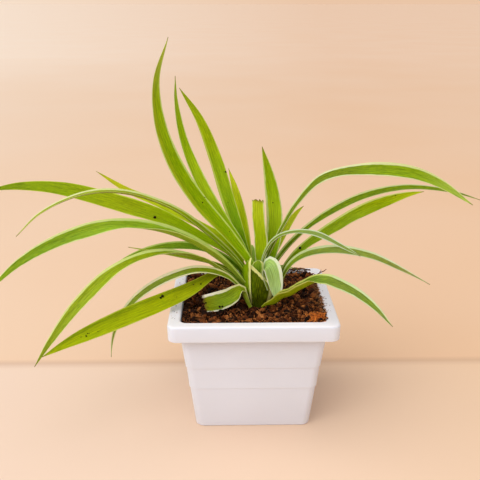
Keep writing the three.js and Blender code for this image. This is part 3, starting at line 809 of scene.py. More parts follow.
class StrewTree(Nodes):
    """A geometry node tree that strews copies over a surface, sized by its named inputs."""

    def __init__(self, name, **inputs):
        super().__init__(bpy.data.node_groups.new(name, "GeometryNodeTree"))
        shared = dict(Geometry="Geometry", Density="Float", Smallest="Float", Largest="Float", Seed="Int")
        for label, kind in {**shared, **inputs, "Material": "Material"}.items():
            self.tree.interface.new_socket(label, in_out="INPUT", socket_type="NodeSocket" + kind)
        self.tree.interface.new_socket("Geometry", in_out="OUTPUT", socket_type="NodeSocketGeometry")
        self.given = self.put("NodeGroupInput").outputs

    def random(self, low, high, seed):
        """A random number for each copy, or a random vector if low and high are vectors."""
        single = isinstance(low, float) or getattr(low, "type", "") == "VALUE"
        first, out, kind = (2, 1, "FLOAT") if single else (0, 0, "FLOAT_VECTOR")
        inputs = {first: low, first + 1: high, 8: seed}
        return self.add("FunctionNodeRandomValue", inputs, out, data_type=kind)

    def scaled(self, vector, scale):
        return self.add("ShaderNodeVectorMath", {0: vector, "Scale": scale}, operation="SCALE")

    def shake(self, geometry, scale, amount):
        """Moves every point by a noise of the given scale."""
        noise = self.add("ShaderNodeTexNoise", {"Scale": scale, "Detail": 3.0}, "Color")
        push = self.add("ShaderNodeVectorMath", {0: noise, 1: (0.5, 0.5, 0.5)}, operation="SUBTRACT")
        inputs = {"Geometry": geometry, "Offset": self.scaled(push, amount)}
        return self.add("GeometryNodeSetPosition", inputs)

    def place(self, copy, turn, scale, tint_seed):
        """Puts copies on random points of the surface, each with a tint of its own."""
        surface = {"Mesh": self.given["Geometry"], "Density": self.given["Density"]}
        surface["Seed"] = self.given["Seed"]
        points = self.add("GeometryNodeDistributePointsOnFaces", surface)
        inputs = {"Points": points, "Instance": copy, "Rotation": turn, "Scale": scale}
        placed = self.add("GeometryNodeInstanceOnPoints", inputs)
        inputs = {"Geometry": placed, "Name": "tint", "Value": self.random(0.0, 1.0, tint_seed)}
        tinted = self.add("GeometryNodeStoreNamedAttribute", inputs, data_type="FLOAT", domain="INSTANCE")
        return self.add("GeometryNodeRealizeInstances", {"Geometry": tinted})

    def cover(self, geometry):
        """Makes geometry the tree's result, in the given material, and returns the tree."""
        real = self.add("GeometryNodeRealizeInstances", {"Geometry": geometry})
        inputs = {"Geometry": real, "Material": self.given["Material"]}
        self.put("NodeGroupOutput", {0: self.add("GeometryNodeSetMaterial", inputs)})
        return self.tree


def crumb_tree():
    """Strews lumps of soil. Small ones are far more common than large ones."""
    tree = StrewTree("Strewn crumbs", Roughness="Float", Faces="Int")
    given = tree.given
    seed, roughness = given["Seed"], given["Roughness"]
    chance = tree.math("POWER", tree.random(0.0, 1.0, seed), 2.2)
    size = tree.span(chance, 0.0, 1.0, given["Smallest"], given["Largest"])
    squash = tree.random((0.7, 0.55, 0.45), (1.4, 1.15, 0.95), seed)
    turn = tree.random((0, 0, 0), (6.28, 6.28, 6.28), seed)
    lump = tree.add("GeometryNodeMeshIcoSphere", {"Radius": 0.5, "Subdivisions": given["Faces"]})
    lumps = tree.place(lump, turn, tree.scaled(squash, size), tree.math("ADD", seed, 7.0))
    rough = tree.shake(lumps, 260.0, roughness)
    rougher = tree.shake(rough, 900.0, tree.math("MULTIPLY", roughness, 0.55))
    return tree.cover(tree.add("GeometryNodeSetShadeSmooth", {"Geometry": rougher}))


def fibre_tree():
    """Strews curled fibres."""
    tree = StrewTree("Strewn fibres", Radius="Float", Curl="Float", Steepness="Float")
    given = tree.given
    seed, steep = given["Seed"], given["Steepness"]
    bow = {"Resolution": 9, "Start": (-0.5, 0, 0), "Middle": (0, 0.12, 0.3), "End": (0.5, 0, 0)}
    strand = tree.add("GeometryNodeCurveQuadraticBezier", bow)
    length = tree.random(given["Smallest"], given["Largest"], seed)
    tip = tree.add("ShaderNodeCombineXYZ", {0: steep, 1: steep, 2: 3.14})
    turn = tree.random(tree.scaled(tip, -1.0), tip, seed)
    curled = tree.shake(tree.place(strand, turn, length, seed), 110.0, given["Curl"])
    section = tree.add("GeometryNodeCurvePrimitiveCircle", {"Resolution": 4, "Radius": given["Radius"]})
    tube = {"Curve": curled, "Profile Curve": section, "Fill Caps": True}
    return tree.cover(tree.add("GeometryNodeCurveToMesh", tube))


def strew(name, tree, low, high, height, cell=2.0, **inputs):
    """Runs a tree on a patch of surface from low to high, in squares of a cell (mm), and leaves
    a plain mesh."""
    xs, ys = (np.linspace(a, b, max(2, round((b - a) / cell))) for a, b in zip(low, high))
    gx, gy = np.meshgrid(xs, ys, indexing="ij")
    n, m = gx.shape
    faces = []
    for i in range(n - 1):
        for j in range(m - 1):
            faces.append([i * m + j, (i + 1) * m + j, (i + 1) * m + j + 1, i * m + j + 1])
    points = np.stack([gx, gy, height(gx, gy)], -1).reshape(-1, 3)
    piece = new_piece(name, points, faces, inputs["Material"])
    modifier = piece.modifiers.new(name, "NODES")
    modifier.node_group = tree
    sockets = {item.name: item.identifier for item in tree.interface.items_tree if item.in_out == "INPUT"}
    for label, value in inputs.items():
        modifier[sockets[label]] = value
    bake_modifiers(piece)
    finish_piece(piece, "soil")


def build_soil(p):
    level = p.level / MM
    line = np.linspace(-SOIL_EDGE, SOIL_EDGE, 91)
    gx, gy = np.meshgrid(line, line, indexing="ij")
    top = np.stack([gx, gy, level - FILLING_DROP + soil_height(gx, gy)], -1)
    narrowing = SOIL_FOOT / SOIL_EDGE
    under = np.stack([gx * narrowing, gy * narrowing, SOIL_FLOOR + 0 * gx], -1)
    piece = new_piece("coir_soil", *slab(top, under), soil_earth(p.dark, p.light))
    finish_piece(piece, "soil", "soil")

    crumbs, fibres = crumb_tree(), fibre_tree()
    earth = crumb_earth(p.dark, p.light)

    def ground(x, y):
        return level - CRUMB_DROP + soil_height(x, y)

    def clump(x, y):
        return ground(x, y) + rise(x, y, TUFT)

    # Patch from and to (mm), crumbs for each square metre, sizes and roughness (m), faces, seed.
    near, far = (-48.8, -48.8), (48.8, 48.8)
    for name, low, high, density, smallest, largest, roughness, faces, seed in (
        ("soil_lumps", near, far, p.lumps, p.lump_smallest, p.lump_largest, 0.0022, 2, 3),
        ("soil_crumbs", (10, -50), (50.4, 50), p.crumbs, 0.0014, 0.0042, 0.0016, 2, 17),
        ("soil_grains", (-50.4, -50.4), (50.4, 50.4), p.grains, 0.0006, 0.0021, 0.0009, 1, 11),
    ):
        strew(
            name, crumbs, low, high, ground, Density=density, Smallest=smallest, Largest=largest,
            Roughness=roughness, Faces=faces, Seed=seed, Material=earth,
        )
    strew(
        "soil_fibres", fibres, near, far, ground,
        Density=p.fibres, Smallest=0.003, Largest=0.009, Radius=0.00012, Curl=0.004, Steepness=0.6,
        Seed=5, Material=fibre_coir("Coir fibre", "#4a2412", "#a8672f"),
    )
    strew(
        "coir_clump", fibres, (38.5, -49.6), (50.2, -37.5), clump,
        Density=2600000.0, Smallest=0.002, Largest=0.006, Radius=0.0002, Curl=0.005, Steepness=1.4,
        Seed=8, Material=fibre_coir("Orange coir fibre", "#3a0e04", "#ec8424"),
    )


# Crown


def crown_ring(z, turn):
    """Points round the crown's bundle at a height (mm)."""
    table = np.array(CROWN_SECTIONS, float)
    x, y, wide, deep = (np.interp(z, table[:, 0], table[:, k]) for k in (1, 2, 3, 4))
    lobe = 1 + CROWN_LOBE_DEPTH * np.cos(CROWN_LOBES * (turn + CROWN_LOBE_TURN * z))
    return np.stack([x + wide * lobe * np.cos(turn), y + deep * lobe * np.sin(turn), z + 0 * turn], 1)


def root_tube(heading, path):
    points, _ = spaced_path(path, ROOT_STEPS)
    out, side = plane_axes(heading)
    run = np.gradient(points, axis=0)
    run /= np.linalg.norm(run, axis=1)[:, None]
    up = run[:, :1] * (0, 0, 1) - run[:, 1:] * out
    turn = turns(10)[:, None]
    rings = []
    for i, middle in enumerate(from_crown(points, out)):
        radius = ROOT_THICK - (ROOT_THICK - ROOT_THIN) * i / ROOT_STEPS
        rings.append(middle + radius * (np.cos(turn) * side + np.sin(turn) * up[i]))
    return loft(rings)


def both_faces(upper, lower=None):
    """Values for the points of a slab: its upper face's, then its lower face's."""
    lower = upper if lower is None else lower
    return np.concatenate([grid.reshape(-1, *upper.shape[2:]) for grid in (upper, lower)])


def sheath_skin(sheath, flare):
    """A sheath as a thin closed sheet, and what its material reads."""
    around, up = np.linspace(0, 1, 64)[:, None], np.linspace(0, 1, 30)[None, :]
    fixed, loose = sheath.angles
    angle = np.radians(fixed + (loose - fixed) * around)
    top = eased(sheath.top, around) + 0.12 * wander(around * 9, sheath.out)
    z = SHEATH_FOOT + (top - SHEATH_FOOT) * up
    to_side = (1 - around) * SHEATH_REACH + 0 * z
    free = np.minimum(to_side, top - z)
    rib = (0.16 * np.sin(angle * 14 + 0.05 * z) + 0.25 * np.sin(angle * 5 + 0.8)) * smooth(0, 7, free)
    bundle = np.interp(z, *np.array(BUNDLE, float).T)
    radius = bundle + sheath.out + rib + flare * np.exp(-free / FLARE_FADE)
    grids = []
    for r in (radius, radius - SHEATH_WALL):
        x, y = CROWN_X + sheath.shift + r * np.cos(angle), CROWN_Y + r * np.sin(angle)
        grids.append(np.stack([x, y, z], -1))
    # Painted shade: each sheath is near black at its foot and its pale edges are dulled there, both fading
    # out with height.
    lit, bright = smooth(*FOOT_SHADE_FADE, z)[..., None], smooth(*EDGE_SHADE_FADE, z)[..., None]
    tone = blend(lit, paints("#1c2404"), eased(paints(sheath.green), around + 0 * z))
    edge = np.minimum(to_side if sheath.pale == "side" else free, EDGE_REACH)
    return slab(*grids), {
        "tone": both_faces(tone),
        "edge_tone": both_faces(blend(bright, *paints("#8c9440 #f0f09c"))),
        "reach": both_faces(np.clip(1 - edge / EDGE_REACH, 0, 1)),
        "margin_start": 1 - sheath.margin / EDGE_REACH,
        "uv": both_faces(np.stack([angle * 0.9 + 0 * z, z * 0.1], -1)),
    }


def build_crown(p):
    widths = {"tone": (4,), "edge_tone": (4,), "reach": (), "margin_start": (), "uv": (2,)}
    rows = {key: [] for key in widths}
    parts = []

    def add(part, values):
        parts.append(part)
        for key, value in values.items():
            rows[key].append(np.broadcast_to(value, (len(part[0]), *widths[key])))

    def add_plain(part, tone):
        uv = part[0][:, [0, 2]] * 0.1
        add(part, {"tone": tone, "edge_tone": tone, "reach": 0, "margin_start": 2, "uv": uv})

    core = loft([crown_ring(z, turns(48)) for z in np.linspace(70, 108, 30)])
    # Painted shade: the core is near black at its foot and turns green with height.
    lit = smooth(*FOOT_SHADE_FADE, core[0][:, 2])[:, None]
    add_plain(core, blend(lit, *paints("#1f2a06 #4f6a10")))
    for heading, path in ROOTS:
        add_plain(root_tube(heading, path), paint("#d9cfae"))
    for sheath in SHEATHS:
        add(*sheath_skin(SimpleNamespace(**sheath), p.sheath_flare / MM))
    skin = leaf_skin("Leaf sheaths", 0.42, 0.00025)
    piece = new_piece("sheathed_crown", *joined(parts), skin, 50)
    values = {key: np.concatenate(value) for key, value in rows.items()}
    uv = values.pop("uv")
    give(piece, **values, brown=0 * values["reach"])
    give_uv(piece, "blade", uv)
    finish_piece(piece, "crown", "crown")


# Leaves

# Places across half a blade, closer towards its edge.
HALF_ACROSS = np.array([0.1, 0.24, 0.42, 0.6, 0.74, 0.86, 0.95, 1])
ACROSS = np.r_[-HALF_ACROSS[::-1], 0, HALF_ACROSS]

BASE_CURVE, TIP_CURVE, TIP_BLUNT = 1.2, 2.2, 0.9  # how the blade widens and narrows
CUT_TAPER = 0.12  # share of the width that a torn blade loses by its end
TIP_HALF = 0.16  # half the width of a tip (mm)
FOLD_ROUND, EDGE_DROOP = 0.14, 0.05  # rounding of the fold and droop of the edges
EDGE_THINNING, TIP_THINNING = 0.62, 0.45  # share of the thickness lost towards edges and tip
RIPPLE_LENGTH = 0.45  # share of the blade that a rippled edge covers
STATION_GAP = 2.2  # length between cross-sections (mm)


class Blade:
    """The shape of one leaf: where any place along and across it lies."""

    def __init__(self, name):
        self.name = name
        self.leaf = SimpleNamespace(**{**PLAIN_LEAF, **LEAVES[name]})
        self.seed = list(LEAVES).index(name) * 1.37 + 0.4
        self.points, self.length = spaced_path(self.leaf.path, 200)
        run = np.gradient(self.points, axis=0)
        self.run = run / np.linalg.norm(run, axis=1)[:, None]
        self.out, self.side = plane_axes(self.leaf.heading)

    def at(self, table, along):
        place = np.linspace(0, 1, len(table))
        return np.stack([np.interp(along, place, table[:, k]) for k in (0, 1)], -1)

    def half_width(self, along):
        leaf = self.leaf
        grown = np.sin(np.clip(along / leaf.peak, 0, 1) * math.pi / 2) ** BASE_CURVE
        past = np.clip((along - leaf.peak) / (1 - leaf.peak), 0, 1)
        falling = 1 - CUT_TAPER * past**2 if leaf.end == "torn" else (1 - past**TIP_CURVE) ** TIP_BLUNT
        share = np.where(along < leaf.peak, leaf.base + (1 - leaf.base) * grown, falling)
        return np.maximum(leaf.width / 2 * share, TIP_HALF)

    def surface(self, along, across, thickness):
        """Points on the upper face and on the lower face (mm)."""
        leaf = self.leaf
        place, run = self.at(self.points, along), self.at(self.run, along)
        run = run / np.linalg.norm(run, axis=-1)[..., None]
        twist, fold = (np.radians(eased(angles, along)) for angles in (leaf.twist, leaf.fold))
        up = run[..., :1] * (0, 0, 1) - run[..., 1:] * self.out
        c, s = np.cos(twist)[..., None], np.sin(twist)[..., None]
        sideways, face = self.side * c + up * s, up * c - self.side * s
        middle = from_crown(place, self.out)
        middle[..., 1] += leaf.back * (1 - along)
        half = self.half_width(along)
        bend = np.sqrt(across**2 + FOLD_ROUND**2)
        raised = (bend - FOLD_ROUND) / (math.sqrt(1 + FOLD_ROUND**2) - FOLD_ROUND)
        x = half * np.cos(fold) * across
        y = half * (np.sin(fold) * raised - EDGE_DROOP * across**4)
        wave = 0.02 * leaf.width * wander(along * self.length / 14 + 2.2 * np.sign(across), self.seed)
        y = y + wave * across**2 * np.sin(np.clip(along, 0, 1) * math.pi)
        if leaf.ripple:
            height, waves = leaf.ripple
            share = np.maximum(0, 1 - along / RIPPLE_LENGTH)
            y = y + height * np.sin(FULL_TURN * waves * along) * share
            y = y + 0.5 * share * wander(along * 90, 3) * (across > 0.5)
        upper = middle + x[..., None] * sideways + y[..., None] * face
        thick = thickness * (1 - EDGE_THINNING * across**2) * (1 - TIP_THINNING * along)
        lean = (thick * np.sin(fold) * across / bend)[..., None]
        return upper, upper + lean * sideways - (thick * np.cos(fold))[..., None] * face


def blade_grid(blade, stations):
    """Places along and across the blade for its points. A torn end is ragged."""
    along = np.linspace(0, 1, stations + 1)[:, None] * np.ones(len(ACROSS))
    if blade.leaf.end == "torn":
        ragged = 0.9 + wander(ACROSS * 9, 1.0) + 0.7 * wander(ACROSS * 23, 4.0)
        along = along - smooth(0.8, 1, along) * np.clip(ragged, 0, 3) * 1.1 / blade.length
    return along, np.ones((stations + 1, 1)) * ACROSS


def blade_colours(blade, along, across):
    """Colours of the blade's upper face, of its back and of its pale edges."""
    leaf = blade.leaf
    green, pale = (eased(paints(codes), along) for codes in (leaf.green, leaf.pale))
    if leaf.stripe:
        low, high, colour, strength = leaf.stripe
        share = smooth(low - 0.2, low + 0.2, across) * (1 - smooth(high - 0.15, high + 0.15, across))
        green = blend((share * strength)[..., None], green, paints(colour))
    green = green * (1 + 0.07 * wander(along * 11 + across * 1.3, blade.seed)[..., None])
    under = blend(0.85 if leaf.under else 0.35, green, paints(leaf.under or "#9aa84e"))
    return green, under, pale


def margin_start(blade, along, across):
    """Where the pale edge starts, as a share of the way out from the midrib."""
    sides = ([side, side] if np.isscalar(side) else side for side in blade.leaf.margin)
    minus, plus = (eased(side, along) for side in sides)
    return 1 - np.where(across < 0, minus, plus) + 0.05 * wander(along * 17, blade.seed + 2)


def browning(blade, along, across):
    """How brown the blade is, at its tip or in a ragged band along its torn end."""
    if blade.leaf.end == "torn":
        band = smooth(1 - 3.2 / blade.length, 1 - 1.2 / blade.length, along)
        brown = band * (0.75 + 0.25 * wander(across * 8, blade.seed))
    else:
        brown = blade.leaf.tip * smooth(1 - 4 / blade.length, 1, along)
    return np.clip(brown, 0, 1)


def build_leaf(blade, p, skin):
    stations = int(np.clip(blade.length / STATION_GAP, 36, p.stations))
    along, across = blade_grid(blade, stations)
    sheet = slab(*blade.surface(along, across, p.thickness / MM))
    piece = new_piece("blade_" + blade.name, *sheet, skin, 60)
    green, under, pale = blade_colours(blade, along, across)
    give(
        piece,
        tone=both_faces(green, under),
        edge_tone=both_faces(pale),
        reach=both_faces(np.abs(across)),
        margin_start=both_faces(margin_start(blade, along, across)),
        brown=both_faces(browning(blade, along, across)),
    )
    flat = np.stack([across * blade.half_width(along) * 0.1, along * blade.length * 0.1], -1)
    give_uv(piece, "blade", both_faces(flat, flat + 3))
    finish_piece(piece, "leaf", "leaf_" + blade.name)


def build_leaves(p):
    skin = leaf_skin("Leaf blades", 0.4, 0.00022)
    for name in LEAVES:
        build_leaf(Blade(name), p, skin)


# Debris

# Where it lies on the rim (mm): the flat top; the inner edge, from and to across it, its lowest
# height and its rise; and what the heaps lie on, lower on the planter's inner side.
RIM_TOP = 87.45
EDGE_FROM, EDGE_TO, EDGE_LOW, EDGE_RISE = 49.4, 51.6, 85.9, 1.7
HEAP_FROM, HEAP_TO, HEAP_LEVEL, HEAP_DROP = 52, 50.6, 87.0, 1.2


def pebble(middle, size, seed):
    """A small uneven lump (mm)."""
    rng = np.random.default_rng(seed)
    turn = turns(8)
    rings = []
    for tilt in np.linspace(-1.45, 1.45, 6):
        radius = size / 2 * math.cos(tilt) * (1 + 0.25 * rng.uniform(-1, 1, 8))
        height = size / 2.4 * math.sin(tilt) * (1 + 0.2 * rng.uniform(-1, 1, 8))
        rings.append(middle + np.stack([radius * np.cos(turn), radius * np.sin(turn), height], 1))
    return loft(rings)


def stick_crumbs(earth):
    """Crumbs of soil stuck to the leaves."""
    parts = []
    for name, crumbs in LEAF_CRUMBS.items():
        blade = Blade(name)
        for along, across, size in crumbs:
            upper, lower = blade.surface(np.array([[along]]), np.array([[across]]), 0.7)
            normal = (upper - lower)[0, 0]
            normal /= np.linalg.norm(normal)
            parts.append(pebble(upper[0, 0] + normal * size * 0.2, size, len(parts)))
    piece = new_piece("leaf_crumbs", *joined(parts), earth)
    give(piece, tint=np.full(len(piece.data.vertices), 0.1))
    finish_piece(piece, "soil")


def lay_twig():
    """The dry twig on the rim, thinner towards the end of each branch."""
    turn = turns(8)[:, None]
    section = np.cos(turn) * (0.5, -0.8, 0) + np.sin(turn) * (0, 0, 1)
    branches = []
    for path, thick in TWIG:
        radii = thick * np.linspace(1, 0.5, len(path))
        branches.append(loft([np.array(place) + r * section for place, r in zip(path, radii)]))
    piece = new_piece("rim_twig", *joined(branches), fibre_coir("Twig bark", "#5a2414", "#a04a2c"))
    give(piece, tint=np.linspace(0, 1, len(piece.data.vertices)))
    finish_piece(piece, "soil")


def build_debris(p):
    earth = crumb_earth(p.dark, p.light)
    stick_crumbs(earth)
    crumbs, fibres = crumb_tree(), fibre_tree()

    def rim(x, y):
        return RIM_TOP + 0 * x

    def inner_edge(x, y):
        return EDGE_LOW + EDGE_RISE * smooth(EDGE_FROM, EDGE_TO, x)

    def heap(x0, y0, wide, deep, high):
        def height(x, y):
            mound = np.maximum(0, 1 - ((x - x0) / wide) ** 2 - ((y - y0) / deep) ** 2)
            return HEAP_LEVEL - HEAP_DROP * smooth(HEAP_FROM, HEAP_TO, y) + high * mound

        return height

    # Patch from and to (mm), crumbs for each square metre.
    for name, low, high, density in (
        ("rim_grit_left", (-58, -50), (-53.5, 44), 110000.0),
        ("rim_grit_right", (53.5, -38), (57.5, 30), 90000.0),
        ("rim_grit_back", (-20, 53.5), (54, 57.5), 50000.0),
    ):
        strew(
            name, crumbs, low, high, rim, Density=density, Smallest=0.00025, Largest=0.0011,
            Roughness=0.0003, Faces=1, Seed=21, Material=earth,
        )
    strew(
        "rim_fibres", fibres, (49.4, -40), (52.6, 34), inner_edge,
        Density=700000.0, Smallest=0.002, Largest=0.0055, Radius=0.00012, Curl=0.003, Steepness=0.9,
        Seed=15, Material=fibre_coir("Strewn coir fibre", "#6a3818", "#b87a40"),
    )
    lay_twig()
    pale_earth = crumb_earth(paint("#5c3820"), paint("#9c6c44"))
    # Patch from and to (mm), its surface, crumbs for each square metre.
    for name, low, high, height, density in (
        ("rim_crumbs", (49.2, -49), (52.2, 46), inner_edge, 900000.0),
        ("spill_right", (28, 50.4), (51, 57.5), heap(39.5, 53.2, 12, 3.8, 2.4), 1200000.0),
        ("spill_left", (-56, 50.6), (-36, 58.6), heap(-46, 55, 8, 3.6, 3.0), 900000.0),
        ("rim_heap", (50.5, 0), (54, 50), heap(50.5, 27, 3.6, 26, 0.8), 700000.0),
        ("rim_heap_back", (50.5, 26), (57, 52), heap(51, 40, 5.5, 13, 1.0), 600000.0),
    ):
        strew(
            name, crumbs, low, high, height, 1.0, Density=density, Smallest=0.0005, Largest=0.0022,
            Roughness=0.0007, Faces=1, Seed=31, Material=pale_earth,
        )


# Stage


def floor_paper(p):
    """Pale floor with painted light: lighter at the left and darker at the right, with painted shade along
    a soft line where the table meets its wall.
    """
    f = Finish("Pale paper floor")
    x, y, _ = f.axes(f.place)
    ahead = f.math("ADD", f.math("MAXIMUM", y, 0.0), 0.6)
    # Painted light: the floor turns darker towards the right.
    right = f.span(f.math("DIVIDE", x, ahead), -0.33, 0.3)
    far = f.mix(f.span(right, -0.05, 0.72), tuple(p.wall_left), tuple(p.wall_right))
    # Painted shade: the far floor darkens near the line.
    far = f.mix(f.span(y, 0.06, 4.0, 0.74, 0), far, paint("#e8bc94"))
    near = f.mix(right, tuple(p.floor_colour), tuple(p.floor_right))
    tone = f.mix(f.span(y, 0.058, 0.066), near, far)
    # Painted shade along the line itself.
    line = f.math("MULTIPLY", f.span(y, 0.052, 0.062, 0, 0.5), f.span(y, 0.07, 0.062))
    tone = f.mix(line, tone, paint("#c89c7c"))
    tone = f.mix(f.span(f.noise(2.2, 2), 0.35, 0.65, 0, 0.05), tone, paint("#ffffff"))
    return f.set(base_color=tone, roughness=0.9, normal=f.bump(f.noise(900, 2), 0.00005, 0.3))


def build_surroundings(p):
    """Soft light all round: warm behind the floor, cooler above."""
    world = bpy.data.worlds.new("Soft studio")
    bpy.context.scene.world = world
    world.use_nodes = True
    sky = Nodes(world.node_tree)
    x, y, z = sky.axes(sky.add("ShaderNodeTexCoord", out="Generated"))
    right = sky.span(sky.math("DIVIDE", x, sky.math("MAXIMUM", y, 0.05)), -0.36, 0.12)
    low = sky.mix(right, *(tuple(1.8 * v for v in tone) for tone in (p.wall_left, p.wall_right)))
    colour = sky.mix(sky.span(z, 0.01, 0.25), low, tuple(p.sky_colour))
    background = world.node_tree.nodes["Background"]
    world.node_tree.links.new(colour, background.inputs["Color"])
    background.inputs["Strength"].default_value = p.sky_strength


def add_lamp(name, kind, place, size, energy, colour):
    """A lamp turned towards the plant."""
    data = bpy.data.lights.new(name, kind)
    if kind == "SUN":
        data.angle = size
    else:
        data.shape = "DISK"
        data.size = size
    data.energy = energy
    data.color = colour
    lamp = bpy.data.objects.new(name, data)
    lamp.location = place
    x, y, z = np.array((0, 0, 0.1)) - place
    tilt = math.pi / 2 + math.atan2(z, math.hypot(x, y))
    lamp.rotation_euler = (tilt, 0, math.atan2(y, x) - math.pi / 2)
    bpy.context.scene.collection.objects.link(lamp)


def build_stage(p):
    reach = 200000
    corners = [(-reach, -reach, 0), (reach, -reach, 0), (reach, reach, 0), (-reach, reach, 0)]
    new_piece("floor", corners, [[0, 1, 2, 3]], floor_paper(p))
    build_surroundings(p)
    sun_angle = math.radians(84)
    add_lamp("key_sun", "SUN", (-0.5, -0.38, 1.3), sun_angle, p.key_strength, (1, 0.96, 0.89))
    add_lamp("soft_box", "AREA", (-0.75, -0.9, 0.9), 0.8, p.box_strength, (0.84, 0.93, 1.0))
    add_lamp("top_box", "AREA", (0.15, 0.1, 1.3), 0.9, p.top_strength, (1, 1, 1))
    camera = bpy.data.cameras.new("photo_camera")
    camera.sensor_width = 36
    camera.lens = p.lens
    eye = bpy.data.objects.new("photo_camera", camera)
    eye.location = tuple(p.camera_place)
    eye.rotation_euler = (math.pi / 2 - p.camera_tilt, 0, -p.camera_turn)
    bpy.context.scene.collection.objects.link(eye)
    bpy.context.scene.camera = eye
    bpy.context.scene.view_settings.view_transform = "Standard"


# Settings


def number(label, about, default, **more):
    return FloatProperty(name=label, description=about, default=default, **more)


def length(label, about, default):
    return number(label, about, default, subtype="DISTANCE", unit="LENGTH", precision=4)


def colour(label, about, code):
    return FloatVectorProperty(
        name=label, description=about, default=paint(code), size=4, min=0, max=1, subtype="COLOR"
    )


class PlanterSettings(bpy.types.PropertyGroup):
    height: length("Height", "Height of the planter", 0.0875)
    rim_width: length("Rim width", "Outer width over the rim", 0.12)
    rim_band: length("Rim band", "Height of the band under the rim's top", 0.012)
    rim_top: length("Rim top", "Width of the rim's flat top", 0.0087)
    rim_round: length("Rim rounding", "Rounding of the rim's edges", 0.0016)
    body_width: length("Body width", "Width of the body under the band", 0.1036)
    foot_width: length("Foot width", "Width at the foot", 0.084)
    wall: length("Wall", "Thickness of the moulded wall", 0.002)
    floor: length("Floor", "Thickness of the planter's floor", 0.0032)
    lower_ledge: length("Lower ledge", "Height of the lower moulded ledge", 0.0335)
    upper_ledge: length("Upper ledge", "Height of the upper moulded ledge", 0.0506)
    corner: length("Corner", "Radius of the upright corners", 0.006)
    colour: colour("Colour", "Colour of the plastic", "#e9effe")


class SoilSettings(bpy.types.PropertyGroup):
    level: length("Level", "Height of the soil's surface", 0.0836)
    lumps: number("Lumps", "Lumps for each square metre", 90000.0)
    lump_smallest: length("Smallest lump", "Size of the smallest lump", 0.002)
    lump_largest: length("Largest lump", "Size of the largest lump", 0.0062)
    crumbs: number("Crumbs", "Crumbs for each square metre at the right", 220000.0)
    grains: number("Grains", "Fine grains for each square metre", 420000.0)
    fibres: number("Fibres", "Loose fibres for each square metre", 30000.0)
    dark: colour("Dark earth", "Colour of the wet soil", "#3c1c0c")
    light: colour("Light earth", "Colour of the drier crumbs", "#8a4a1e")


class CrownSettings(bpy.types.PropertyGroup):
    sheath_flare: length("Sheath flare", "How far a sheath's free edge stands off", 0.0007)


class LeafSettings(bpy.types.PropertyGroup):
    thickness: length("Thickness", "Thickness of a blade at its midrib", 0.0007)
    stations: IntProperty(
        name="Stations", description="Most cross-sections along a blade", default=100, min=30
    )


class StageSettings(bpy.types.PropertyGroup):
    # The right-hand floor colours are darker than the left ones: painted shade of the light falling from
    # the left.
    floor_colour: colour("Floor", "Colour of the floor in front", "#efd0b8")
    floor_right: colour("Floor right", "Colour of the floor in front, at the right", "#ecc6a4")
    wall_left: colour("Far floor", "Colour of the floor behind", "#ffe9d4")
    wall_right: colour("Far floor right", "Colour of the floor behind, at the right", "#f0caab")
    sky_colour: colour("Surroundings", "Colour of the soft light from above", "#eef3fb")
    sky_strength: number("Surroundings strength", "Strength of that light", 0.53)
    key_strength: number("Sun", "Strength of the soft sun", 1.8)
    box_strength: number("Soft box", "Power of the soft box", 3.6, unit="POWER")
    top_strength: number("Top box", "Power of the box above", 0.8, unit="POWER")
    lens: number("Lens", "Focal length of the camera in millimetres", 56.276)
    camera_place: FloatVectorProperty(
        name="Camera place",
        description="Where the camera stands",
        default=(-0.018256, -0.530869, 0.298797),
        subtype="TRANSLATION",
        unit="LENGTH",
        precision=5,
    )
    camera_tilt: number("Camera tilt", "How far it looks down", 0.306, subtype="ANGLE")
    camera_turn: number("Camera turn", "How far it looks right", 0.018, subtype="ANGLE")


# Operators and panel


class AddPlanter(bpy.types.Operator):
    """Add the square planter"""

    bl_idname = "spider_plant.add_planter"
    bl_label = "Planter"

    def execute(self, context):
        build_planter(context.scene.planter_settings)
        return {"FINISHED"}


class FillSoil(bpy.types.Operator):
    """Fill the planter with coir soil, its lumps, grains and fibres"""

    bl_idname = "spider_plant.fill_soil"
    bl_label = "Soil"

    def execute(self, context):
        build_soil(context.scene.soil_settings)
        return {"FINISHED"}


class GrowCrown(bpy.types.Operator):
    """Grow the crown of clasping sheaths with its roots"""

    bl_idname = "spider_plant.grow_crown"
    bl_label = "Crown"

    def execute(self, context):
        build_crown(context.scene.crown_settings)
        return {"FINISHED"}


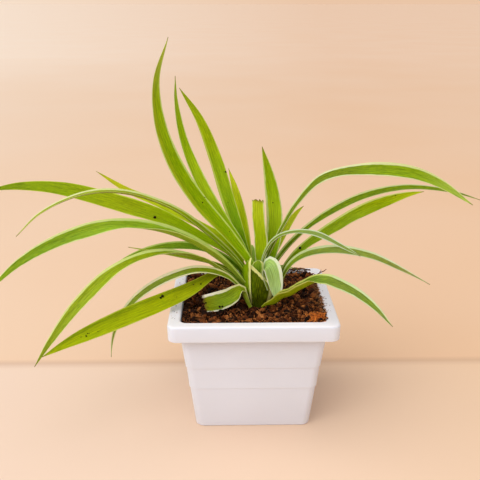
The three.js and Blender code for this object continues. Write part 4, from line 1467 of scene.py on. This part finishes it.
class GrowLeaves(bpy.types.Operator):
    """Grow every leaf from the crown"""

    bl_idname = "spider_plant.grow_leaves"
    bl_label = "Leaves"

    def execute(self, context):
        build_leaves(context.scene.leaf_settings)
        return {"FINISHED"}


class StrewDebris(bpy.types.Operator):
    """Strew crumbs, fibres and a twig on the rim and the leaves"""

    bl_idname = "spider_plant.strew_debris"
    bl_label = "Crumbs on rim and leaves"

    def execute(self, context):
        build_debris(context.scene.soil_settings)
        return {"FINISHED"}


class SetStage(bpy.types.Operator):
    """Set the floor, the soft lights and the camera"""

    bl_idname = "spider_plant.set_stage"
    bl_label = "Stage"

    def execute(self, context):
        build_stage(context.scene.stage_settings)
        return {"FINISHED"}


OPERATORS = (SetStage, AddPlanter, FillSoil, GrowCrown, GrowLeaves, StrewDebris)
SETTINGS = {
    "planter_settings": PlanterSettings,
    "soil_settings": SoilSettings,
    "crown_settings": CrownSettings,
    "leaf_settings": LeafSettings,
    "stage_settings": StageSettings,
}


class SpiderPlantPanel(bpy.types.Panel):
    """Settings and pieces of the potted spider plant"""

    bl_idname = "VIEW3D_PT_spider_plant"
    bl_label = "Spider Plant"
    bl_space_type = "VIEW_3D"
    bl_region_type = "UI"
    bl_category = "Spider Plant"

    def draw(self, context):
        for kind in OPERATORS:
            self.layout.operator(kind.bl_idname)
        for name in SETTINGS:
            box = self.layout.box()
            settings = getattr(context.scene, name)
            for key in settings.__annotations__:
                box.prop(settings, key)


def register():
    for kind in (*SETTINGS.values(), *OPERATORS, SpiderPlantPanel):
        bpy.utils.register_class(kind)
    for name, kind in SETTINGS.items():
        setattr(bpy.types.Scene, name, PointerProperty(type=kind))


def unregister():
    for name in SETTINGS:
        delattr(bpy.types.Scene, name)
    for kind in (SpiderPlantPanel, *OPERATORS[::-1], *list(SETTINGS.values())[::-1]):
        bpy.utils.unregister_class(kind)


def main():
    register()
    bpy.ops.spider_plant.set_stage()
    bpy.ops.spider_plant.add_planter()
    bpy.ops.spider_plant.fill_soil()
    bpy.ops.spider_plant.grow_crown()
    bpy.ops.spider_plant.grow_leaves()
    bpy.ops.spider_plant.strew_debris()


if __name__ == "__main__":
    main()
